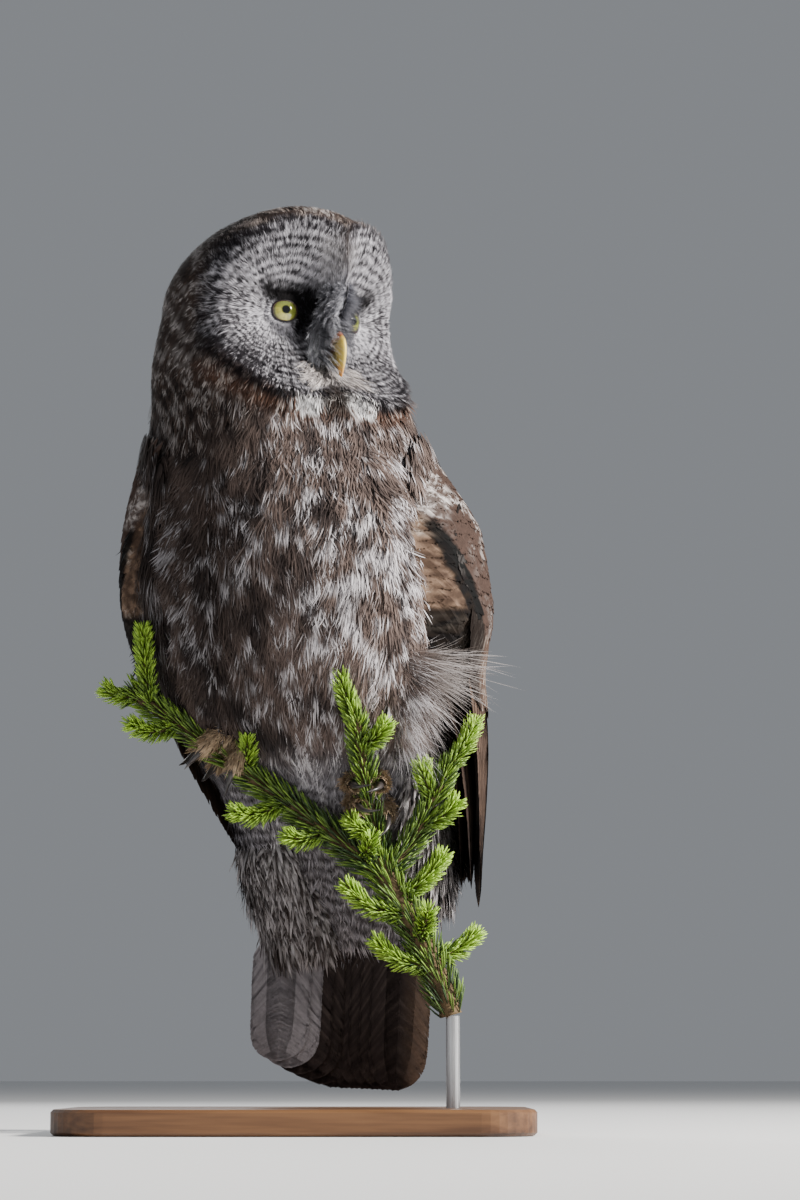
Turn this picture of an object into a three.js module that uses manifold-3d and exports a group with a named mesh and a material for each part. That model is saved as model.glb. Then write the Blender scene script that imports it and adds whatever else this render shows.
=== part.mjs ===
// Great grey owl, life size, perched on a cut spruce branch over a plain display stand.
// Millimetres, +Z up. The owl faces -Y and the origin is the centre of the base's underside.
// "left" and "right" are the owl's own sides: its left side lies towards +X.

import * as THREE from "three";
import Module from "manifold-3d";

const wasm = await Module();
wasm.setup();

const DEGREE = Math.PI / 180;
const { lerp, smoothstep, clamp } = THREE.MathUtils;

// Clearance between solids that touch, and the growth of a cutter that leaves it.
const GAP = 0.3;
const SOCKET_GAP = 0.4;
const SLEEVE = 0.6;

// The whole bird: levels of the crown and of the middle of the head, and which way each part turns.
const CROWN_Z = 674;
const HEAD_Z = 600;
const HEAD_TURN = 38 * DEGREE;
const BODY_TURN = -12 * DEGREE;
const TWIST_FROM_Z = 430;
const TWIST_TO_Z = 565;
const DOME_POWER = 2.12;
const CROWN_FORWARD = 27;
const CROWN_LEAN = 1.5;
const HEAD_ROUNDNESS = 2.35;
const BODY_ROUNDNESS = 2.15;

// Plumage sections, from the end of the tail coverts to the middle of the head: level, centre,
// half width, and reach in front of the centre and behind it.
const SECTIONS = [
  { z: 148, x: 33, y: 60, side: 60, front: 15, back: 15 },
  { z: 176, x: 35, y: 54, side: 73, front: 33, back: 31 },
  { z: 210, x: 31, y: 43, side: 79, front: 47, back: 47 },
  { z: 252, x: 21, y: 26, side: 84, front: 63, back: 68 },
  { z: 297, x: 8, y: 12, side: 102, front: 90, back: 86 },
  { z: 332, x: 3, y: 4, side: 112, front: 102, back: 93 },
  { z: 366, x: 0, y: -2, side: 121, front: 107, back: 98 },
  { z: 404, x: -3, y: -5, side: 123, front: 111, back: 100 },
  { z: 446, x: -5, y: -6, side: 118, front: 107, back: 98 },
  { z: 487, x: -9, y: -9, side: 107, front: 97, back: 92 },
  { z: 525, x: -14, y: -13, side: 98, front: 90, back: 91 },
  { z: 560, x: -18, y: -17, side: 92, front: 87, back: 89 },
  { z: HEAD_Z, x: -17, y: -19, side: 87, front: 87, back: 80 },
];

// The loft's mesh: its columns, how far they crowd towards the face, and the steps of its rings.
const LOFT_COLUMNS = 32;
const FACE_CROWDING = 0.42;
const BODY_RING_STEP = 32.6;
const FACE_RING_STEP = 11.75;
const FACE_BOTTOM_Z = 506;
const DOME_RINGS = 8;
const CROWN_CAP = 0.35;

// Where the loft is parted into nodes. The neck's upper cut dips towards the face.
const COVERTS_TOP_Z = 222;
const NECK_BOTTOM_Z = 484;
const NECK_TOP_Z = 534;
const NECK_TOP_DIP = 10 * DEGREE;

// The face, in the head's own frame: to its side, forward, and up from the middle of the head.
const EYE_SIDE = 32;
const EYE_FORWARD = 55;
const EYE_UP = -9;
const EYE_SPLAY = 20 * DEGREE;
const EYEBALL_RADIUS = 13;
const LID_RADIUS = 10.6;
const LID_THICKNESS = 1.7;
const LID_SIDES = 5;
const LID_STEPS = 18;
const DISH_DEPTH = 34;
const DISH_RADIUS = 66;
const CHIN_DEPTH = 14;
const CHIN_UP = -48;
const CHIN_HALF_WIDTH = 18;
const CHIN_HALF_HEIGHT = 15;
const BRIDGE_HEIGHT = 19;
const BRIDGE_HALF_WIDTH = 9;
const BRIDGE_RISE = 20;
const BRIDGE_FALL = 14;
const DISC_SIDE = 28;
const DISC_RADIUS = 64;
const RIM_HEIGHT = 3.5;
const RIM_WIDTH = 3.5;

// The relief fades out over these shares of the head's depth, and below the face.
const FACE_FADE = { from: 0.12, to: 0.5 };
const FACE_FADE_UP = { from: -95, to: -70 };

// The bill, along its ridge from the cere to the hooked tip.
const BILL_TOP = { forward: 74, up: -16 };
const BILL_BEND = { forward: 87, up: -27 };
const BILL_TIP = { forward: 79, up: -56 };
const BILL_HALF_WIDTH = 5.8;
const BILL_HALF_DEPTH = 7.2;
const BILL_TIP_SHARE = 0.05;
const LOWER_BILL_TOP = { forward: 66, up: -29 };
const LOWER_BILL_BEND = { forward: 74, up: -39 };
const LOWER_BILL_TIP = { forward: 72, up: -51 };
const LOWER_BILL_HALF_WIDTH = 4.8;
const LOWER_BILL_HALF_DEPTH = 4.4;
const BILL_STEPS = 7;
const BILL_SIDES = 8;
const BILL_TAPER = 1.6;
const NOSTRIL = { side: 4.9, forward: 79, up: -29, length: 2, height: 1.7 };

// The folded wings lie on a guide surface: the body's own, carried straight on below this level.
const WING_FREE_Z = 332;
const GUIDE_SLOPES = { x: -0.2, y: -0.16, side: 0.1, front: 0.1, back: 0.1 };
const SHELL_FRONT = 62 * DEGREE;
const SHELL_FRONT_LOW = 74 * DEGREE;
const SHELL_BACK = 142 * DEGREE;
const SHELL_BACK_LOW = 166 * DEGREE;
const SHELL_TOP_Z = 494;
const SHELL_TOP_DROP = 42;
const SHELL_PEAK = 0.4;
const SHELL_BOTTOM_Z = 344;
const SHELL_LIFT = 11;
const SHELL_EDGE_LIFT = 2.2;
const SHELL_DEPTH = 3;
const SHELL_EDGE = 0.04;
const SHELL_TOP_SHARE = 0.12;
const SHELL_FILL = 2.4;
const SHELL_CELLS = 8;

// How far each wing's feathers stand off the guide at a level: the left wing droops away from the
// body, the right one is held in behind it.
const WING_STANDOFF = [
  { z: 165, left: -5, right: -6 },
  { z: 200, left: 0, right: -8 },
  { z: 241, left: 7, right: -7 },
  { z: 290, left: 13, right: -2 },
  { z: 345, left: 13, right: -2 },
  { z: 400, left: 7, right: -5 },
  { z: 470, left: 5, right: -5 },
  { z: 500, left: 2, right: -3 },
];

// Wing feathers fan from the shell's lower edge and close towards the wing's tip.
const FAN_TOP_Z = 400;
const FAN_BOTTOM_Z = 165;
const FAN_MIDDLE_TOP = { left: 112 * DEGREE, right: 116 * DEGREE };
const FAN_MIDDLE_BOTTOM = { left: 114 * DEGREE, right: 150 * DEGREE };
const FAN_SPREAD_TOP = 68 * DEGREE;
const FAN_SPREAD_BOTTOM = 34 * DEGREE;
const VANE_THICKNESS = 0.6;
const VANE_STEP = 1.0;

// How a feather's half width runs from root to tip, on the wings and on the tail.
const WING_OUTLINE = [
  { along: 0, width: 0.55 },
  { along: 0.3, width: 0.95 },
  { along: 0.62, width: 1 },
  { along: 0.87, width: 0.74 },
  { along: 1, width: 0.22 },
];
const TAIL_OUTLINE = [
  { along: 0, width: 0.92 },
  { along: 0.3, width: 1 },
  { along: 0.65, width: 1 },
  { along: 0.9, width: 0.86 },
  { along: 1, width: 0.42 },
];

const FLIGHT = { count: 13, halfWidth: 20.5, lift: 5, root: 366 };
const FLIGHT_TIPS = [
  { place: 0, z: 302 },
  { place: 0.4, z: 266 },
  { place: 0.84, z: 166 },
  { place: 1, z: 188 },
];
const COVERTS = { count: 7, halfWidth: 22, lift: 10.2, root: 384, tip: 306 };
const SCAPULARS = { count: 5, halfWidth: 21, lift: 15, root: 452, tip: 386 };

// The tail hangs from the end of its coverts.
const TAIL_ROOT = new THREE.Vector3(33, 60, 148 - GAP);
const TAIL_TIP = new THREE.Vector3(27, 88, 32);
const TAIL_PAIRS = 6;
const TAIL_HALF_SPREAD = 50;
const TAIL_ROOT_SPREAD = 50;
const TAIL_FEATHER_HALF_WIDTH = 23;
const TAIL_OUTER_SHORTER = { left: -2, right: 24 };
const TAIL_CORNER = 1.5;
const TAIL_SUNK = 0.09;
const TAIL_BLOCK = { side: 57, depth: 8.5, length: 24, taper: 0.25, sides: 20 };

// The perch, cut from the top of a small spruce.
const PERCH_Y = -34;
const JUNCTION = new THREE.Vector3(64, PERCH_Y, 184);
const STEM_CUT = new THREE.Vector3(112, PERCH_Y, 80);
const STEM_RADIUS = 8.5;
const BRANCH_END = new THREE.Vector3(-122, PERCH_Y - 4, 318);
const BRANCH_RADIUS = 6;
const TWIG_MIDDLE_GRIP = new THREE.Vector3(52, PERCH_Y - 8, 236);
const TWIG_MIDDLE_END = new THREE.Vector3(43, PERCH_Y - 48, 292);
const TWIG_RIGHT_END = new THREE.Vector3(108, PERCH_Y - 14, 262);
const TWIG_RADIUS = 4.5;
const PERCH_SIDES = 9;
const PERCH_STEPS = 7;
const STEM_CUT_LEVEL = STEM_CUT.z + 4;

// The feet grip the left branch and the middle twig.
const TOE_RADIUS = 6.5;
const TOE_TAPER = 0.28;
const TOE_PAD = 0.05;
const TOE_PADS = 3;
const TOE_ARCH = 3;
const TOE_SIDES = 7;
const TOE_STEPS = 5;
const PALM = { along: 16, out: 9, across: 12 };
const ANKLE_OUT = 14.5;
const TOES = [
  { name: "inner", along: 9, splay: 13, wrap: 1, reach: 112 },
  { name: "middle", along: -5, splay: -4, wrap: 1, reach: 122 },
  { name: "outer", along: -10, splay: -16, wrap: -1, reach: 96 },
  { name: "hind", along: 6, splay: 9, wrap: -1, reach: 104 },
];
const RIGHT_GRIP_X = -59;
const LEFT_GRIP_ALONG = 0.48;
const GRIP_PRESS = 0.8;

// A claw's line ahead of its toe and in towards the perch, as shares of its length.
const CLAW_LENGTH = 27;
const CLAW_RADIUS = 3.2;
const CLAW_TIP_RADIUS = 0.35;
const CLAW_LINE = [
  { ahead: 0.015, inward: -0.02 },
  { ahead: 0.32, inward: -0.02 },
  { ahead: 0.62, inward: 0.09 },
  { ahead: 0.86, inward: 0.34 },
];

// A feathered leg runs from the ankle up and back to the hip, a little bowed to the front.
const HIP = { inward: 4, back: 24, up: 58 };
const LEG_BOW = 5;
const LEG_TOP_RADIUS = 25;
const LEG_BOTTOM_RADIUS = 14;
const LEG_SWELL = 1.3;
const LEG_ROUNDED_FROM = 0.72;

// The display stand.
const BASE = { width: 340, depth: 260, height: 18, corner: 40, bevel: 2 };
const BASE_CORNER_STEPS = 5;
const ROD_RADIUS = 5;
const ROD_SIDES = 24;

// Colours of the materials.
const LOOKS = {
  plumage: { color: 0x6f6a64, roughness: 0.95, metalness: 0 },
  face: { color: 0x8e8c8a, roughness: 0.95, metalness: 0 },
  flight: { color: 0x54483c, roughness: 0.85, metalness: 0 },
  toes: { color: 0x8a7a66, roughness: 0.95, metalness: 0 },
  horn: { color: 0xc9a43a, roughness: 0.4, metalness: 0 },
  claw: { color: 0x2b2a2c, roughness: 0.35, metalness: 0 },
  eye: { color: 0xc8c23a, roughness: 0.05, metalness: 0 },
  bark: { color: 0x8a6a3c, roughness: 0.9, metalness: 0 },
  wood: { color: 0x4a3524, roughness: 0.5, metalness: 0 },
  steel: { color: 0xa9abae, roughness: 0.35, metalness: 1 },
};

// Solids from points and triangles.

/** A closed solid, turned so that its faces point out. */
function solidOf(points, triangles) {
  let volume = 0;
  const cross = new THREE.Vector3();
  for (const [a, b, c] of triangles) {
    volume += points[a].dot(cross.crossVectors(points[b], points[c]));
  }
  const outward = volume > 0 ? triangles : triangles.map(([a, b, c]) => [a, c, b]);
  const mesh = new wasm.Mesh({
    numProp: 3,
    vertProperties: new Float32Array(points.flatMap((point) => point.toArray())),
    triVerts: new Uint32Array(outward.flat()),
  });
  return new wasm.Manifold(mesh);
}

function centreOf(ring) {
  const centre = new THREE.Vector3();
  ring.forEach((point) => centre.add(point));
  return centre.divideScalar(ring.length);
}

/** A closed solid through rings of equally many points, its two ends closed by fans. */
function loft(rings) {
  const count = rings[0].length;
  const points = rings.flat();
  const first = points.length;
  points.push(centreOf(rings[0]), centreOf(rings.at(-1)));
  const triangles = [];
  const last = (rings.length - 1) * count;
  for (let column = 0; column < count; column += 1) {
    const next = (column + 1) % count;
    triangles.push([first, next, column]);
    triangles.push([first + 1, last + column, last + next]);
    for (let row = 0; row < last; row += count) {
      triangles.push([row + column, row + next, row + count + next]);
      triangles.push([row + column, row + count + next, row + count + column]);
    }
  }
  return solidOf(points, triangles);
}

/** A closed slab between two grids of points, split into triangles alike on both faces. */
function slab(outer, inner) {
  const rows = outer.length;
  const columns = outer[0].length;
  const points = [...outer.flat(), ...inner.flat()];
  const under = rows * columns;
  const triangles = [];
  const cell = (a, b, c, d) => triangles.push([a, b, c], [a, c, d]);
  for (let row = 0; row + 1 < rows; row += 1) {
    for (let column = 0; column + 1 < columns; column += 1) {
      const a = row * columns + column;
      const b = a + columns;
      cell(a, b, b + 1, a + 1);
      triangles.push([under + a, under + b + 1, under + b]);
      triangles.push([under + a, under + a + 1, under + b + 1]);
    }
  }
  const edge = (a, b) => cell(b, a, under + a, under + b);
  for (let row = 0; row + 1 < rows; row += 1) {
    const end = columns - 1;
    edge(row * columns, (row + 1) * columns);
    edge((row + 1) * columns + end, row * columns + end);
  }
  for (let column = 0; column + 1 < columns; column += 1) {
    const end = (rows - 1) * columns;
    edge(column + 1, column);
    edge(end + column, end + column + 1);
  }
  return solidOf(points, triangles);
}

/** A round tube along a smooth path, its radius given by a function of the way along it. */
function tube(path, radiusAt, sides, steps) {
  const curve = new THREE.CatmullRomCurve3(path, false, "centripetal");
  const frames = curve.computeFrenetFrames(steps, false);
  const rings = [];
  for (let step = 0; step <= steps; step += 1) {
    const centre = curve.getPointAt(step / steps);
    const radius = radiusAt(step / steps);
    const ring = [];
    for (let side = 0; side < sides; side += 1) {
      const angle = (2 * Math.PI * side) / sides;
      ring.push(
        centre
          .clone()
          .addScaledVector(frames.normals[step], radius * Math.cos(angle))
          .addScaledVector(frames.binormals[step], radius * Math.sin(angle)),
      );
    }
    rings.push(ring);
  }
  return loft(rings);
}

/** A three.js geometry as a solid, its shared points found by their places. */
function solidFromGeometry(geometry, matrix = new THREE.Matrix4()) {
  const places = geometry.attributes.position;
  const order = geometry.index ? Array.from(geometry.index.array) : [...Array(places.count).keys()];
  const seen = new Map();
  const points = [];
  const numberOf = (vertex) => {
    const point = new THREE.Vector3().fromBufferAttribute(places, vertex).applyMatrix4(matrix);
    const key = point.toArray().map((value) => Math.round(value * 1e4)).join();
    if (!seen.has(key)) {
      seen.set(key, points.length);
      points.push(point);
    }
    return seen.get(key);
  };
  const triangles = [];
  for (let start = 0; start < order.length; start += 3) {
    const [a, b, c] = order.slice(start, start + 3).map(numberOf);
    if (a !== b && b !== c && c !== a) {
      triangles.push([a, b, c]);
    }
  }
  return solidOf(points, triangles);
}

function ellipsoid(centre, axes, lengths, detail) {
  const [x, y, z] = axes.map((axis, index) => axis.clone().multiplyScalar(lengths[index]));
  const matrix = new THREE.Matrix4().makeBasis(x, y, z).setPosition(centre);
  return solidFromGeometry(new THREE.IcosahedronGeometry(1, detail), matrix);
}

/** The largest closed piece of a solid. */
function largest(solid) {
  const pieces = solid.decompose();
  return pieces.reduce((best, piece) => (piece.volume() > best.volume() ? piece : best));
}

function joined(solids) {
  return solids.reduce((sum, solid) => sum.add(solid));
}

function cut(solid, cutters) {
  return largest(cutters.reduce((left, cutter) => left.subtract(cutter), solid));
}

/** The part of a solid on the far side of a plane through a point. */
function beyond(solid, normal, point) {
  return solid.trimByPlane(normal.toArray(), normal.dot(point));
}

// The body's sections.

/** A table's value at a place, on a smooth curve through its rows, which run in order of `by`. */
function valueAt(rows, key, place, by = "z") {
  let index = 0;
  while (index < rows.length - 2 && place > rows[index + 1][by]) {
    index += 1;
  }
  const [low, high] = [rows[index], rows[index + 1]];
  const before = rows[Math.max(index - 1, 0)];
  const after = rows[Math.min(index + 2, rows.length - 1)];
  const span = high[by] - low[by];
  const along = clamp((place - low[by]) / span, 0, 1);
  const startSlope = ((high[key] - before[key]) / (high[by] - before[by])) * span;
  const endSlope = ((after[key] - low[key]) / (after[by] - low[by])) * span;
  const rise = high[key] - low[key];
  const curve = 3 * rise - 2 * startSlope - endSlope;
  const twist = startSlope + endSlope - 2 * rise;
  return low[key] + along * (startSlope + along * (curve + along * twist));
}

function sectionAt(z) {
  const section = { z, turn: lerp(BODY_TURN, HEAD_TURN, smoothstep(z, TWIST_FROM_Z, TWIST_TO_Z)) };
  for (const key of ["x", "y", "side", "front", "back"]) {
    section[key] = valueAt(SECTIONS, key, Math.min(z, HEAD_Z));
  }
  section.power = lerp(BODY_ROUNDNESS, HEAD_ROUNDNESS, smoothstep(z, TWIST_FROM_Z, TWIST_TO_Z));
  if (z > HEAD_Z) {
    const rise = Math.min((z - HEAD_Z) / (CROWN_Z - HEAD_Z), 1);
    const shrink = (1 - rise ** DOME_POWER) ** (1 / DOME_POWER);
    section.side *= shrink;
    section.front *= shrink;
    section.back *= shrink;
    section.x += CROWN_FORWARD * rise ** CROWN_LEAN * Math.sin(HEAD_TURN);
    section.y -= CROWN_FORWARD * rise ** CROWN_LEAN * Math.cos(HEAD_TURN);
  }
  return section;
}

/** The wings' guide: the body's section, and below WING_FREE_Z a straight run on from it. */
function guideAt(z) {
  const section = sectionAt(Math.max(z, WING_FREE_Z));
  const drop = Math.min(z - WING_FREE_Z, 0);
  for (const [key, slope] of Object.entries(GUIDE_SLOPES)) {
    section[key] += slope * drop;
  }
  section.z = z;
  return section;
}

function reachAt(section, angle) {
  const depth = Math.cos(angle) > 0 ? section.front : section.back;
  const across = (Math.abs(Math.sin(angle)) / section.side) ** section.power;
  const along = (Math.abs(Math.cos(angle)) / depth) ** section.power;
  return (across + along) ** (-1 / section.power);
}

/** A point on a section: the angle runs from the front towards the owl's left. */
function sectionPoint(section, angle, lift) {
  const reach = reachAt(section, angle) + lift;
  const heading = angle + section.turn;
  return new THREE.Vector3(
    section.x + reach * Math.sin(heading),
    section.y - reach * Math.cos(heading),
    section.z,
  );
}

// The head's own frame and the relief of the face.

const HEAD_CENTRE = new THREE.Vector3(SECTIONS.at(-1).x, SECTIONS.at(-1).y, HEAD_Z);
const HEAD_LEFT = new THREE.Vector3(Math.cos(HEAD_TURN), Math.sin(HEAD_TURN), 0);
const HEAD_FORWARD = new THREE.Vector3(Math.sin(HEAD_TURN), -Math.cos(HEAD_TURN), 0);
const UP = new THREE.Vector3(0, 0, 1);

function headPoint(side, forward, up) {
  return HEAD_CENTRE.clone()
    .addScaledVector(HEAD_LEFT, side)
    .addScaledVector(HEAD_FORWARD, forward)
    .addScaledVector(UP, up);
}

/** A smooth rise to 1, about `halfWidth` wide each way. */
function bump(distance, halfWidth) {
  return Math.exp(-0.5 * (distance / halfWidth) ** 2);
}

/** How far the face stands forward of the plain head at a place on it. */
function faceRelief(side, up) {
  const fromEye = Math.hypot(Math.abs(side) - EYE_SIDE, up - EYE_UP) / DISH_RADIUS;
  const dish = fromEye < 1 ? DISH_DEPTH * (1 - fromEye ** 2) ** 2 : 0;
  const chin = CHIN_DEPTH * bump(side, CHIN_HALF_WIDTH) * bump(up - CHIN_UP, CHIN_HALF_HEIGHT);
  const bridgeRun = up > 0 ? BRIDGE_RISE : BRIDGE_FALL;
  const bridge = BRIDGE_HEIGHT * bump(side, BRIDGE_HALF_WIDTH) * bump(up, bridgeRun);
  const fromRim = Math.hypot(Math.abs(side) - DISC_SIDE, up - EYE_UP) - DISC_RADIUS;
  return bridge - dish - chin + RIM_HEIGHT * bump(fromRim, RIM_WIDTH);
}

/** A point of the plumage, with the face's relief on the head. */
function bodyPoint(z, heading, lift = 0) {
  const section = sectionAt(z);
  const point = sectionPoint(section, heading - section.turn, lift);
  const offset = point.clone().sub(HEAD_CENTRE);
  const forward = offset.dot(HEAD_FORWARD);
  const facing = smoothstep(forward / section.front, FACE_FADE.from, FACE_FADE.to);
  const above = smoothstep(offset.z, FACE_FADE_UP.from, FACE_FADE_UP.to);
  const relief = faceRelief(offset.dot(HEAD_LEFT), offset.z);
  return point.addScaledVector(HEAD_FORWARD, facing * above * relief);
}

/** Levels of the loft's rings, close together on the face and towards the crown. */
function loftLevels() {
  const levels = [];
  for (let z = SECTIONS[0].z; z < FACE_BOTTOM_Z; z += BODY_RING_STEP) {
    levels.push(z);
  }
  for (let z = FACE_BOTTOM_Z; z < HEAD_Z; z += FACE_RING_STEP) {
    levels.push(z);
  }
  for (let ring = 0; ring <= DOME_RINGS; ring += 1) {
    const rise = Math.sin((ring / (DOME_RINGS + CROWN_CAP)) * 90 * DEGREE);
    levels.push(HEAD_Z + (CROWN_Z - HEAD_Z) * rise);
  }
  return levels;
}

/** Headings of the loft's columns, closer together over the face than behind the head. */
function loftHeadings() {
  return Array.from({ length: LOFT_COLUMNS }, (_, index) => {
    const turn = (2 * Math.PI * index) / LOFT_COLUMNS;
    return HEAD_TURN + turn - FACE_CROWDING * Math.sin(turn);
  });
}

function bodyLoft(lift) {
  const headings = loftHeadings();
  return loft(loftLevels().map((z) => headings.map((heading) => bodyPoint(z, heading, lift))));
}

// Eyes, lids and bill.

function eyeAxis(side) {
  const turn = HEAD_TURN + side * EYE_SPLAY;
  return new THREE.Vector3(Math.sin(turn), -Math.cos(turn), 0);
}

function eyeCentre(side) {
  const front = headPoint(side * EYE_SIDE, EYE_FORWARD, EYE_UP);
  return front.addScaledVector(eyeAxis(side), -EYEBALL_RADIUS);
}

function eyeball(side, grow) {
  const radius = EYEBALL_RADIUS + grow;
  const across = new THREE.Vector3().crossVectors(UP, eyeAxis(side));
  return ellipsoid(eyeCentre(side), [across, UP, eyeAxis(side)], [radius, radius, radius], 3);
}

/** The ring of the two lids round an eye. */
function lids(side) {
  const axis = eyeAxis(side);
  const depth = Math.sqrt(EYEBALL_RADIUS ** 2 - LID_RADIUS ** 2);
  const centre = eyeCentre(side).addScaledVector(axis, depth);
  const across = new THREE.Vector3().crossVectors(UP, axis);
  const matrix = new THREE.Matrix4().makeBasis(across, UP, axis).setPosition(centre);
  const ring = new THREE.TorusGeometry(LID_RADIUS, LID_THICKNESS, LID_SIDES, LID_STEPS);
  return solidFromGeometry(ring, matrix);
}

/** A half of the bill: oval sections along the ridge, swept down and back to the tip. */
function billHalf(line, halfWidth, halfDepth, grow) {
  const [start, bend, end] = line.map((point) => headPoint(0, point.forward, point.up));
  const ridge = new THREE.QuadraticBezierCurve3(start, bend, end);
  const rings = [];
  for (let step = 0; step <= BILL_STEPS; step += 1) {
    const along = step / BILL_STEPS;
    const taper = lerp(BILL_TIP_SHARE, 1, Math.sqrt(1 - along ** BILL_TAPER));
    const back = HEAD_LEFT.clone().cross(ridge.getTangentAt(along)).normalize();
    const centre = ridge.getPointAt(along).addScaledVector(back, (halfDepth + grow) * taper);
    const ring = [];
    for (let side = 0; side < BILL_SIDES; side += 1) {
      const angle = (2 * Math.PI * side) / BILL_SIDES;
      ring.push(
        centre
          .clone()
          .addScaledVector(HEAD_LEFT, (halfWidth + grow) * taper * Math.sin(angle))
          .addScaledVector(back, (halfDepth + grow) * taper * Math.cos(angle)),
      );
    }
    rings.push(ring);
  }
  return loft(rings);
}

function upperBill(grow = 0) {
  return billHalf([BILL_TOP, BILL_BEND, BILL_TIP], BILL_HALF_WIDTH, BILL_HALF_DEPTH, grow);
}

function lowerBill(grow = 0) {
  const line = [LOWER_BILL_TOP, LOWER_BILL_BEND, LOWER_BILL_TIP];
  return billHalf(line, LOWER_BILL_HALF_WIDTH, LOWER_BILL_HALF_DEPTH, grow);
}

function nostrils() {
  const lengths = [NOSTRIL.length, NOSTRIL.height, NOSTRIL.height];
  return [-1, 1].map((side) => {
    const centre = headPoint(side * NOSTRIL.side, NOSTRIL.forward, NOSTRIL.up);
    return ellipsoid(centre, [HEAD_LEFT, HEAD_FORWARD, UP], lengths, 1);
  });
}

// Wings.

function standoff(side, z) {
  return valueAt(WING_STANDOFF, side > 0 ? "left" : "right", z);
}

/** Where a wing feather runs: its place in the fan, from the back to the front, at a level. */
function fanAngle(side, place, z) {
  const height = Math.min((z - FAN_BOTTOM_Z) / (FAN_TOP_Z - FAN_BOTTOM_Z), 1);
  const name = side > 0 ? "left" : "right";
  const middle = lerp(FAN_MIDDLE_BOTTOM[name], FAN_MIDDLE_TOP[name], height);
  const spread = lerp(FAN_SPREAD_BOTTOM, FAN_SPREAD_TOP, height);
  return middle + (0.5 - place) * spread;
}


/** A feather on a wing. Each one's back edge is tucked under its neighbour towards the back. */
function wingFeather(side, place, row, root, tip) {
  const outer = [];
  const inner = [];
  for (const { along, width } of WING_OUTLINE) {
    const z = lerp(root, tip, along);
    const section = guideAt(z);
    const middle = fanAngle(side, place, z);
    const reach = reachAt(section, middle);
    const spacing = (reach * (fanAngle(side, 0, z) - fanAngle(side, 1, z))) / (row.count - 1);
    const tilt = -VANE_STEP / spacing;
    const outerRow = [];
    const innerRow = [];
    for (const across of [-1, 0, 1]) {
      const offset = across * width * row.halfWidth;
      const angle = side * (middle + offset / reach);
      const lift = row.lift + standoff(side, z) + tilt * offset;
      outerRow.push(sectionPoint(section, angle, lift));
      innerRow.push(sectionPoint(section, angle, lift - VANE_THICKNESS));
    }
    outer.push(outerRow);
    inner.push(innerRow);
  }
  return slab(outer, inner);
}

function featherRow(side, row, rootAt, tipAt) {
  return Array.from({ length: row.count }, (_, index) => {
    const place = index / (row.count - 1);
    return wingFeather(side, place, row, rootAt(place), tipAt(place));
  });
}

/** How full the shell is at a place on it: thin along its edges, soon full below its top. */
function shellSwell(back, down) {
  const across = Math.sqrt(Math.sin(Math.PI * clamp(back, SHELL_EDGE, 1 - SHELL_EDGE)));
  return across * Math.min(1, SHELL_TOP_SHARE + SHELL_FILL * down);
}

/** The arm and its small coverts, as one shell on the body's side. */
function wingShell(side) {
  const outer = [];
  const inner = [];
  for (let row = 0; row <= SHELL_CELLS; row += 1) {
    const down = row / SHELL_CELLS;
    const front = lerp(SHELL_FRONT, SHELL_FRONT_LOW, down);
    const rear = lerp(SHELL_BACK, SHELL_BACK_LOW, down);
    const outerRow = [];
    const innerRow = [];
    for (let column = 0; column <= SHELL_CELLS; column += 1) {
      const back = column / SHELL_CELLS;
      const angle = side * lerp(front, rear, back);
      const top = SHELL_TOP_Z - SHELL_TOP_DROP * (2 * (back - SHELL_PEAK)) ** 2;
      const section = guideAt(lerp(top, SHELL_BOTTOM_Z, down));
      const lift = (SHELL_LIFT + standoff(side, section.z)) * shellSwell(back, down);
      outerRow.push(sectionPoint(section, angle, SHELL_EDGE_LIFT + lift));
      innerRow.push(sectionPoint(section, angle, -SHELL_DEPTH));
    }
    outer.push(outerRow);
    inner.push(innerRow);
  }
  return slab(outer, inner);
}

function wing(side, bodySleeve) {
  const shell = wingShell(side);
  const flightTip = (place) => valueAt(FLIGHT_TIPS, "z", place, "place");
  const feathers = [
    ...featherRow(side, FLIGHT, () => FLIGHT.root, flightTip),
    ...featherRow(side, COVERTS, () => COVERTS.root, () => COVERTS.tip),
    ...featherRow(side, SCAPULARS, () => SCAPULARS.root, () => SCAPULARS.tip),
  ];
  return cut(joined([shell, ...feathers]), [bodySleeve]);
}

// Tail.

function tailFeather(side, pair) {
  const outwards = (pair + 0.5) / TAIL_PAIRS;
  const layer = 2 * pair + (side > 0 ? 0 : 1);
  const axis = TAIL_TIP.clone().sub(TAIL_ROOT);
  const outerShorter = side > 0 ? TAIL_OUTER_SHORTER.left : TAIL_OUTER_SHORTER.right;
  const outer = [];
  const inner = [];
  for (const { along, width } of TAIL_OUTLINE) {
    const shorter = 1 - (outerShorter * outwards ** TAIL_CORNER) / axis.length();
    const centre = TAIL_ROOT.clone().addScaledVector(axis, lerp(TAIL_SUNK, shorter, along));
    const spread = lerp(TAIL_ROOT_SPREAD, TAIL_HALF_SPREAD, along) * outwards;
    const outerRow = [];
    const innerRow = [];
    for (const across of [-1, 0, 1]) {
      const offset = side * spread + across * width * TAIL_FEATHER_HALF_WIDTH;
      const forward = VANE_STEP * (layer - TAIL_PAIRS);
      outerRow.push(tailPoint(centre, offset, forward + VANE_THICKNESS));
      innerRow.push(tailPoint(centre, offset, forward));
    }
    outer.push(outerRow);
    inner.push(innerRow);
  }
  return slab(outer, inner);
}

function tailPoint(centre, sideways, forward) {
  return new THREE.Vector3(
    centre.x + sideways * Math.cos(BODY_TURN) + forward * Math.sin(BODY_TURN),
    centre.y + sideways * Math.sin(BODY_TURN) - forward * Math.cos(BODY_TURN),
    centre.z,
  );
}

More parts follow.
